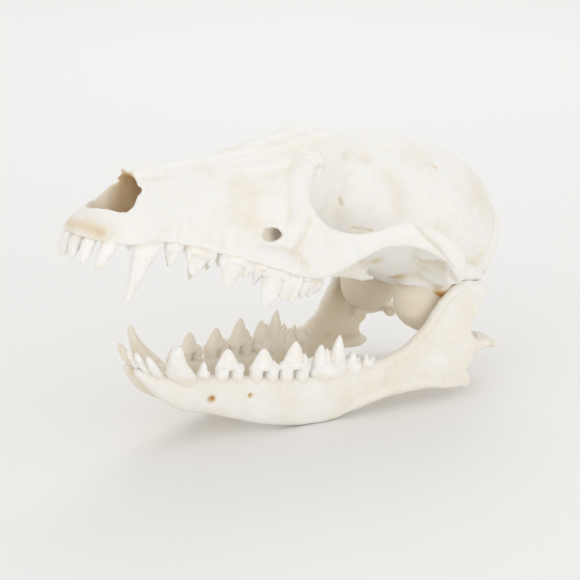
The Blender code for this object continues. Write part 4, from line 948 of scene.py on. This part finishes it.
upperTeeth = {
    "voxel": 0.2,
    "pegs": {
        "firstIncisor": [
            (6.0, 1.9, 5.0, 1.2, 1.0), (3.0, 1.85, 2.0, 1.5, 1.3), (1.3, 1.85, -0.6, 1.75, 1.6),
            (0.8, 1.9, -3.2, 1.5, 1.6), (0.6, 1.95, -5.4, 0.95, 1.25), (0.6, 1.95, -6.4, 0.35, 0.6)],
        "secondIncisor": [
            (7.6, 4.9, 5.0, 1.4, 1.1), (4.8, 4.9, 2.0, 1.65, 1.3), (3.0, 5.1, -0.6, 1.9, 1.65),
            (2.4, 5.3, -3.6, 1.6, 1.6), (2.2, 5.3, -5.9, 1.0, 1.2), (2.2, 5.3, -6.9, 0.35, 0.6)],
        "thirdIncisor": [
            (10.0, 8.0, 5.0, 1.9, 1.3), (8.2, 8.1, 2.0, 2.3, 1.6), (7.2, 8.2, -0.6, 2.55, 1.85),
            (6.2, 8.4, -3.6, 1.95, 1.7), (5.2, 8.5, -6.2, 1.05, 1.05), (4.8, 8.4, -7.5, 0.35, 0.4)],
    },
    "canine": [(21.8, 7.4, 9.0, 2.2, 1.6), (19.0, 9.0, 4.8, 3.4, 2.0), (17.9, 10.2, 1.8, 4.3, 2.7),
               (16.6, 11.0, -1.2, 3.4, 2.5), (15.8, 11.4, -4.6, 2.45, 2.05), (15.2, 11.6, -8.2, 1.75, 1.6),
               (14.8, 11.6, -11.4, 1.25, 1.2), (14.6, 11.5, -13.6, 0.8, 0.8),
               (14.6, 11.5, -14.5, 0.25, 0.3)],
    "cheekTeeth": {  # cusps: part of length, aside, height, long, wide, fullness
        "firstPremolar": {
            "front": (23.6, 9.8), "back": (29.0, 10.4), "gum": 3.0, "width": 3.4, "middle": 0.5,
            "cusps": [(0.56, 0.0, 6.4, 0.86, 0.95, 2.0), (0.84, 0.0, 3.4, 0.34, 0.8, 2.2),
                      (0.16, 0.0, 3.6, 0.34, 0.8, 2.2)],
            "belts": [(0.5, 0.0, 0.9, (0.52, 0.5, 2.1))], "roots": [(0.5, 0.0, 0.28)]},
        "secondPremolar": {
            "front": (30.0, 10.9), "back": (39.2, 12.5), "gum": 2.8, "width": 3.7, "middle": 0.45,
            "cusps": [(0.40, 0.0, 7.6, 0.92, 0.95, 1.25), (0.86, 0.0, 4.2, 0.28, 0.8, 2.6),
                      (0.12, 0.0, 4.0, 0.26, 0.8, 2.6)],
            "belts": [(0.5, 0.0, 0.8, (0.52, 0.5, 1.9))]},
        "thirdPremolar": {
            "front": (40.2, 13.0), "back": (50.0, 15.8), "gum": 2.7, "width": 4.0, "middle": 0.45,
            "cusps": [(0.38, 0.0, 9.4, 0.86, 0.95, 1.2), (0.80, 0.0, 5.4, 0.26, 0.8, 2.4),
                      (0.93, 0.0, 4.2, 0.18, 0.75, 2.6), (0.10, 0.0, 4.0, 0.26, 0.8, 2.6)],
            "belts": [(0.5, 0.0, 0.8, (0.52, 0.5, 2.0))]},
        "carnassial": {
            "front": (49.8, 16.4), "back": (64.2, 20.4), "gum": 2.2, "width": 5.0, "middle": 0.5,
            "cusps": [(0.40, 0.0, 12.2, 0.62, 0.95, 1.3), (0.72, 0.1, 8.8, 0.46, 0.8, 3.2),
                      (0.88, 0.1, 9.2, 0.26, 0.7, 2.6), (0.08, 0.2, 4.6, 0.22, 0.7, 2.6),
                      (0.15, -2.6, 6.4, 0.24, 0.66, 1.8)],
            "belts": [(0.5, 0.0, 1.2, (0.52, 0.5, 2.6)), (0.16, -1.6, 1.0, (0.16, 0.5, 2.0))],
            "roots": [(0.14, 0.6, 0.22), (0.74, 0.0, 0.34), (0.16, -2.4, 0.17)]},
        "firstMolar": {
            "front": (64.0, 19.2), "back": (70.6, 17.4), "gum": 1.4, "width": 5.0,
            "cusps": [(0.26, 0.6, 6.6, 0.60, 0.80, 3.2), (0.75, 0.6, 6.0, 0.54, 0.76, 3.2),
                      (0.36, -4.0, 5.0, 0.6, 0.7, 3.0), (0.7, -3.4, 4.4, 0.5, 0.6, 3.0)],
            "belts": [(0.5, 0.2, 1.6, (0.54, 0.52, 2.6)), (0.5, -2.8, 1.4, (0.42, 0.62, 2.4)),
                      (0.5, -5.0, 1.8, (0.36, 0.3, 1.8))],
            "roots": [(0.2, 1.0, 0.28), (0.8, 1.0, 0.26), (0.5, -4.0, 0.3)]},
        "secondMolar": {
            "front": (70.6, 16.8), "back": (74.8, 15.2), "gum": 0.6, "width": 4.2,
            "cusps": [(0.3, 0.6, 4.4, 0.6, 0.75, 3.2), (0.74, 0.5, 4.0, 0.55, 0.7, 3.2),
                      (0.45, -2.6, 3.6, 0.6, 0.6, 3.0)],
            "belts": [(0.5, 0.1, 1.2, (0.52, 0.5, 1.9)), (0.45, -2.2, 1.2, (0.42, 0.55, 1.7))],
            "roots": [(0.25, 0.6, 0.3), (0.75, 0.6, 0.28), (0.5, -2.4, 0.3)]},
    },
}
lowerTeeth = {
    "voxel": 0.2,
    # painted shade laid over the whole far lower row
    "farTeethShade": 0.8,
    "gumLine": [(-8, 1.0), (0, 0.8), (9, 0.2), (15, -1.0), (30, -1.4), (45, -2.0), (56, -2.0), (66, -1.0),
                (72, 0.4), (80, 1.0)],
    "pegs": {
        "firstIncisor": [
            (4.0, 1.6, -2.6, 1.1, 0.9), (0.2, 1.5, 0.6, 1.2, 1.0), (-2.2, 1.5, 3.0, 1.15, 1.2),
            (-3.8, 1.5, 5.3, 0.9, 1.2), (-4.6, 1.5, 6.7, 0.35, 0.7)],
        "secondIncisor": [
            (4.6, 3.7, -2.6, 1.2, 1.0), (0.9, 4.0, 0.6, 1.35, 1.1), (-1.4, 4.15, 3.0, 1.3, 1.2),
            (-3.0, 4.2, 5.3, 0.95, 1.2), (-3.8, 4.2, 6.7, 0.35, 0.7)],
        "thirdIncisor": [
            (5.6, 5.6, -2.6, 1.4, 1.1), (2.6, 6.3, 0.5, 1.6, 1.3), (0.4, 6.8, 2.9, 1.5, 1.35),
            (-1.2, 7.0, 5.0, 1.0, 1.25), (-1.8, 7.0, 6.3, 0.35, 0.7)],
    },
    "canine": [(13.6, 6.4, -6.0, 2.8, 2.3), (10.4, 7.4, -1.6, 4.1, 2.8), (8.8, 8.1, 0.6, 4.4, 2.95),
               (7.2, 8.9, 2.8, 3.6, 2.7), (6.0, 9.7, 5.0, 2.7, 2.2), (5.4, 10.3, 7.0, 2.1, 1.8),
               (5.3, 10.6, 8.6, 1.5, 1.4), (5.5, 10.6, 9.6, 0.6, 0.6)],
    "farCanine": [  # less worn than the left one
        (13.6, 6.4, -6.0, 2.8, 2.3), (10.4, 7.4, -1.6, 4.1, 2.8), (8.8, 8.1, 0.6, 4.0, 2.8),
        (7.0, 8.9, 2.8, 3.0, 2.3), (5.6, 9.7, 5.0, 2.1, 1.8), (4.6, 10.4, 7.2, 1.4, 1.3),
        (4.0, 10.8, 9.0, 0.9, 0.9), (3.8, 10.8, 10.0, 0.35, 0.4)],
    "cheekTeeth": {
        "firstPremolar": {
            "front": (15.0, 7.3), "back": (18.8, 8.0), "gum": -1.0, "width": 2.8,
            "cusps": [(0.45, 0.0, 4.6, 0.9, 0.95, 2.0)],
            "belts": [(0.5, 0.0, 0.7, (0.54, 0.5, 1.6))], "roots": [(0.5, 0.0, 0.3)]},
        "secondPremolar": {
            "front": (20.2, 8.6), "back": (28.6, 10.4), "gum": -1.2, "width": 3.4, "middle": 0.45,
            "foot": 2.4, "cusps": [(0.38, 0.0, 8.4, 0.86, 0.95, 1.4), (0.86, 0.0, 4.2, 0.26, 0.8, 2.6),
                                   (0.14, 0.0, 4.4, 0.26, 0.8, 2.6)],
            "belts": [(0.5, 0.0, 3.3, (0.5, 0.48, 1.1))], "roots": [(0.24, 0.0, 0.24), (0.78, 0.0, 0.23)]},
        "thirdPremolar": {
            "front": (30.4, 10.8), "back": (39.6, 12.4), "gum": -1.6, "width": 3.6, "middle": 0.45,
            "foot": 2.4, "cusps": [(0.43, 0.0, 8.8, 0.82, 0.95, 1.4), (0.80, 0.0, 5.2, 0.26, 0.8, 2.4),
                                   (0.92, 0.0, 4.2, 0.18, 0.75, 2.6), (0.12, 0.0, 4.4, 0.26, 0.8, 2.6)],
            "belts": [(0.5, 0.0, 3.3, (0.5, 0.48, 1.2))], "roots": [(0.24, 0.0, 0.22), (0.78, 0.0, 0.22)]},
        "fourthPremolar": {
            "front": (39.8, 12.5), "back": (49.4, 14.0), "gum": -2.2, "width": 4.1, "middle": 0.45,
            "foot": 3.2, "cusps": [(0.45, 0.0, 11.2, 0.80, 0.95, 1.4), (0.78, 0.1, 7.6, 0.28, 0.78, 2.4),
                                   (0.92, 0.0, 5.4, 0.2, 0.72, 2.6), (0.1, 0.0, 5.4, 0.26, 0.75, 2.6)],
            "belts": [(0.5, 0.0, 4.2, (0.5, 0.48, 1.5))], "roots": [(0.23, 0.0, 0.24), (0.77, 0.0, 0.24)]},
        "carnassial": {
            "front": (50.2, 13.8), "back": (66.8, 15.8), "gum": -2.2, "width": 5.8,
            "cusps": [(0.16, 0.0, 9.8, 0.30, 0.72, 3.2), (0.28, 0.0, 8.6, 0.24, 0.62, 3.2),
                      (0.51, 0.0, 12.4, 0.42, 0.85, 1.5), (0.62, -1.6, 8.6, 0.16, 0.36, 2.0),
                      (0.80, 0.9, 7.6, 0.24, 0.5, 2.4), (0.83, -1.4, 7.0, 0.22, 0.44, 2.4),
                      (0.95, 0.2, 6.0, 0.13, 0.5, 2.0)],
            "belts": [(0.36, 0.0, 1.6, (0.38, 0.48, 3.4)), (0.82, 0.0, 2.2, (0.2, 0.5, 3.4))],
            "roots": [(0.22, 0.0, 0.34), (0.76, 0.0, 0.32)]},
        "secondMolar": {
            "front": (66.8, 15.8), "back": (71.9, 16.8), "gum": -0.4, "width": 4.5,
            "cusps": [(0.26, 0.9, 5.0, 0.48, 0.5, 1.9), (0.28, -0.9, 4.8, 0.44, 0.46, 1.9),
                      (0.74, 0.7, 4.2, 0.42, 0.46, 1.9), (0.76, -0.8, 3.9, 0.38, 0.44, 1.9)],
            "belts": [(0.5, 0.0, 1.0, (0.52, 0.5, 2.5))]},
        "thirdMolar": {
            "front": (72.2, 17.0), "back": (74.8, 17.6), "gum": 0.6, "width": 2.9,
            "cusps": [(0.5, 0.0, 3.1, 0.9, 0.9, 2.2)],
            "belts": [(0.5, 0.0, 0.8, (0.52, 0.5, 1.5))], "roots": [(0.5, 0.0, 0.3)]},
    },
}


def makeTeeth(name, table, side, canine, down, place, gumLine):
    # one side's row of teeth, whitest at the crowns and warmer towards the gum
    surfaces = [peg(rows, side) for rows in table["pegs"].values()]
    for tooth in table["cheekTeeth"].values():
        surfaces += cheekTooth(tooth, side, down)
    if canine:
        surfaces.append(peg(table[canine], side))
    teeth = grown(name, surfaces, [], table["voxel"], 5)
    points, normals = readPoints(teeth.data), readNormals(teeth.data)
    points = points + normals * (noiseField(points, 2.2, 21) * 0.035)[:, None]
    writePoints(teeth.data, points)
    gum = np.interp(points[:, 0], [row[0] for row in gumLine], [row[1] for row in gumLine])
    over = (points[:, 2] - gum) * (-1 if down else 1)
    neck = np.clip((0.9 - over) / 1.3, 0, 1) * 0.75
    # painted shade in the creases
    hollowShade = np.clip(hollowness(teeth.data, 14, 0.16) - 0.05, 0, 1)
    # the far lower row is painted in shade all over
    if side > 0 and not down:
        hollowShade = np.maximum(hollowShade, table["farTeethShade"])
    made = finishPiece(teeth, name, place, [], enamel, {"neck": neck, "hollowShade": hollowShade})


makeTeeth("upperTeethLeft", upperTeeth, -1, "canine", True, craniumPlace, cranium["socketEdge"])
makeTeeth("upperTeethRight", upperTeeth, 1, None, True, craniumPlace, cranium["socketEdge"])
makeTeeth("lowerTeethLeft", lowerTeeth, -1, "canine", False, jawPlace, lowerTeeth["gumLine"])
makeTeeth("lowerTeethRight", lowerTeeth, 1, "farCanine", False, jawPlace, lowerTeeth["gumLine"])


# Lower jaw

lowerJaw = {
    "voxel": 0.36,
    "rounding": 8,
    "body": [  # x, y, upper edge, lower edge, thickness
        (-2.4, 2.2, 1.6, -0.2, 3.2), (0.0, 2.8, 1.2, -2.4, 4.8), (3.0, 3.7, 0.8, -5.4, 6.6),
        (8.0, 5.2, 0.2, -9.0, 8.6), (14.0, 6.2, -0.4, -10.9, 8.4), (21.0, 7.6, -0.8, -12.0, 6.8),
        (33.0, 10.4, -1.4, -14.6, 6.2), (45.0, 12.6, -2.0, -16.1, 6.6), (56.0, 14.6, -1.2, -15.3, 6.8),
        (65.0, 16.2, 0.6, -12.4, 6.2), (73.0, 18.4, 1.4, -9.6, 5.0)],
    "ramus": [
        (62.0, 16.0, -1.0, -13.0, 4.6), (70.0, 18.0, 0.8, -9.2, 3.6), (77.0, 19.6, 4.6, -7.4, 2.8),
        (83.0, 21.4, 11.0, -6.4, 2.4), (87.5, 22.6, 18.0, -6.0, 2.2), (91.5, 23.6, 24.0, -5.9, 2.1),
        (96.0, 24.4, 26.6, -6.0, 2.0), (100.0, 24.8, 26.4, -6.2, 1.9), (102.6, 25.0, 25.6, -6.2, 1.8)],
    "frontRidge": [  # x, y, z, radius
        (70.0, 17.6, -0.2, 2.2), (77.6, 19.6, 3.4, 1.8), (84.6, 21.9, 11.0, 1.5), (90.6, 23.6, 21.6, 1.2),
        (95.6, 24.4, 25.2, 1.1)],
    "ledge": [
        (58.0, 15.2, -13.0, 2.2), (68.0, 18.4, -8.5, 2.0), (80.0, 20.8, -5.5, 1.9),
        (92.0, 22.2, -4.5, 1.7), (100.0, 22.9, -4.8, 1.5)],
    "condyleNeck": [
        (95.0, 23.4, 5.4, 1.6), (101.5, 23.6, 6.3, 2.3), (106.0, 23.4, 6.4, 2.1), (109.0, 23.6, 6.6, 1.8)],
    "angle": [
        (94.0, 22.6, -4.4, 1.9), (99.6, 23.2, -4.6, 1.8), (102.8, 23.6, -4.2, 1.1)],
    "condyleBar": [
        (104.8, 15.6, 6.4, 1.5), (107.6, 19.0, 6.7, 2.4), (109.0, 22.6, 6.8, 2.2), (109.4, 25.4, 6.9, 1.5),
        (109.4, 27.6, 7.0, 0.6)],
    "coronoidTip": ((101.2, 24.9, 22.8), (4.0, 1.0, 3.6)),
    "symphysis": ((9.4, 2.4, -4.4), (9.6, 3.4, 3.6), 24),
    "notches": [  # centre, radii
        ((105.8, 24.8, 12.8), (5.8, 7.0, 5.0)), ((104.8, 24.8, -0.5), (4.4, 7.0, 2.9))],
    "middleGap": 0.15,
    "softness": ((7, 13, 0.10), (2.6, 14, 0.035)),
    # painted shade on faces turned inwards and on the whole far half
    "inwardFaceShade": 0.16,
    "farHalfShade": 0.14,
}
jawMarks = {
    # the tints of the mental, small and inner holes are painted shade inside the openings
    "mentalHole": ([(18.2, 10.8, -6.8), (19.4, 9.6, -6.6)], space, 0, -1.9, 0.95, 0.95, 0),
    "smallHole": ([(30.2, 14.4, -6.0), (30.2, 12.0, -6.0)], space, 0, -1.2, 0.62, 0.95, 0),
    "ramusFoot": ([(76.7, 19.6, 4.4), (77.7, 21.6, -0.1), (81.9, 22.6, -3.2), (88.1, 23.6, -5.0),
                   (97.1, 24.6, -5.8)], space, 0, 0.3, 1.1, 0.0, 0),
    "frontEdge": ([(79, 21.6, 7), (85.5, 23.6, 14), (90.5, 24.8, 21.6), (95.6, 25.4, 25.4)],
                  space, 0, 0.25, 0.9, 0.0, 0),
    "innerHole": ([(84, 19.6, -1.5), (86, 20.4, -1.2)], space, 0, -0.8, 1.0, 0.5, 0),
    "molarShelf": ([(66, 0, 1.5), (75, 0, 4.2)], flank, 17, 0.0, 2.4, 0.08, 0),
    # painted shade on the ramus's inner side
    "innerRamusShade": ([(80, 17, 0), (92, 20, 10), (98, 22, 18)], space, 0, 0.0, 5.0, 0.12, 0),
}
lowerRoots = {"places": [(16.8, 9.0), (21.8, 10.8), (26.6, 12.0), (32.2, 13.0), (37.6, 14.2), (41.8, 15.0),
                         (47.2, 16.2), (54.0, 17.4), (62.6, 18.6)],
              "foot": -2.4, "head": -7.0, "height": 0.22, "width": 1.5}
for number, (x, y) in enumerate(lowerRoots["places"]):
    jawMarks["root%d" % number] = (
        [(x, y, lowerRoots["foot"]), (x + 0.8, y, lowerRoots["head"])], space, 0,
        lowerRoots["height"], lowerRoots["width"], 0.0, 0)


def makeJaw(side, node, name):
    part = lowerJaw
    (x, y, z), radii = part["coronoidTip"]
    middle, middleRadii, tip = part["symphysis"]
    forms = [
        blade(part["body"], side, steps=80, around=48, power=2.6), blade(part["ramus"], side, power=3),
        rod(part["frontRidge"], side), rod(part["ledge"], side, steps=40), egg((x, side * y, z), radii),
        rod(part["condyleNeck"], side), rod(part["condyleBar"], side), rod(part["angle"], side),
        egg((middle[0], side * middle[1], middle[2]), middleRadii, tip=tip),
    ]
    low, high = sorted((-side * 12, side * part["middleGap"]))
    notches = [egg((x, side * y, z), radii) for (x, y, z), radii in part["notches"]]
    bone = grown("jaw", forms, notches, part["voxel"], part["rounding"])
    points, normals = readPoints(bone.data), readNormals(bone.data)
    soft = unevenness(points, part["softness"])
    rough = hill(points[:, 1], 1.4) * noiseField(points, 1.5, 15) * 0.1
    points = points + normals * (soft + rough)[:, None]
    points = markedPoints(points, normals, jawMarks, np.zeros(len(points)))
    writePoints(bone.data, points)
    takeAway(bone, objectFrom("otherHalf", [slab((-12, low, -30), (60, high, 20), 0)]))
    points, normals = readPoints(bone.data), readNormals(bone.data)
    tone = np.zeros(len(points))
    markedPoints(points, normals, jawMarks, tone)
    # painted shade on inward-facing sides and over the far half
    tone += part["inwardFaceShade"] * np.clip(-normals[:, 1] * side, 0, 1) + (part["farHalfShade"] if side > 0 else 0)
    # painted shade in hollows
    hollowShade = hollowness(bone.data, 24, 0.25) * 0.7 + hollowness(bone.data, 4, 0.10) * 0.3
    finishPiece(bone, name, jawPlace, [node], jawBone, {"tone": tone, "hollowShade": np.clip(hollowShade - 0.08, 0, 1)})


makeJaw(-1, "jaw_left", "jawBoneLeft")
makeJaw(1, "jaw_right", "jawBoneRight")


# Table, light and camera

studio = {
    "floor": "#F3F2F0",
    "floorSize": 3.0,          # m
    "sky": "#FFFFFF",
    "skyStrength": 0.80,
    "lights": {  # azimuth, elevation, distance m, size m, watts
        "key": (-62, 26, 0.9, 0.6, 0.8),
        "fill": (8, 8, 1.1, 0.9, 2.1),
        "back": (140, 45, 1.0, 0.6, 1.4),
    },
    "cameraPlace": (-254.23, -421.57, 136.92),   # mm from the front of the upper jaw
    "cameraAzimuth": -37.798,
    "cameraElevation": 17.309,
    "lens": 120.5,
}


def awayFrom(azimuth, elevation):
    # unit vector from the object towards a place seen at that azimuth and elevation
    a, e = math.radians(azimuth), math.radians(elevation)
    return Vector((math.sin(a) * math.cos(e), -math.cos(a) * math.cos(e), math.sin(e)))


def makeStudio():
    bpy.context.scene.view_settings.view_transform = "Standard"
    world = bpy.data.worlds.new("paleRoom")
    world.use_nodes = True
    background = world.node_tree.nodes["Background"]
    background.inputs["Color"].default_value = linear(studio["sky"])
    background.inputs["Strength"].default_value = studio["skyStrength"]
    bpy.context.scene.world = world
    half = studio["floorSize"] / 2
    mesh = bpy.data.meshes.new("floor")
    corners = [(-half, -half, 0), (half, -half, 0), (half, half, 0), (-half, half, 0)]
    mesh.from_pydata(corners, [], [(0, 1, 2, 3)])
    floor = bpy.data.objects.new("floor", mesh)
    bpy.context.scene.collection.objects.link(floor)
    paper = bpy.data.materials.new("paperFloor")
    paper.use_nodes = True
    shader = paper.node_tree.nodes["Principled BSDF"]
    shader.inputs["Base Color"].default_value = linear(studio["floor"])
    shader.inputs["Roughness"].default_value = 0.9
    mesh.materials.append(paper)
    middle = Vector((0, 0, 0.04))
    for name, (azimuth, elevation, distance, size, watts) in studio["lights"].items():
        data = bpy.data.lights.new(name, "AREA")
        data.shape, data.size, data.energy = "DISK", size, watts
        light = bpy.data.objects.new(name, data)
        away = awayFrom(azimuth, elevation)
        light.location = middle + away * distance
        light.rotation_euler = away.to_track_quat("Z", "Y").to_euler()
        bpy.context.scene.collection.objects.link(light)
    data = bpy.data.cameras.new("camera")
    data.lens, data.sensor_width = studio["lens"], 36
    data.clip_start, data.clip_end = 0.01, 20
    camera = bpy.data.objects.new("camera", data)
    back = awayFrom(studio["cameraAzimuth"], studio["cameraElevation"])
    a = math.radians(studio["cameraAzimuth"])
    right = Vector((math.cos(a), math.sin(a), 0))
    up = back.cross(right)
    turn = Matrix((right, up, back)).transposed().to_4x4()
    camera.matrix_world = Matrix.Translation(tablePlace + Vector(studio["cameraPlace"]) * mm) @ turn
    bpy.context.scene.collection.objects.link(camera)
    bpy.context.scene.camera = camera


makeStudio()
bpy.data.collections.remove(workshop)
bpy.context.view_layer.update()
print("studio ready")
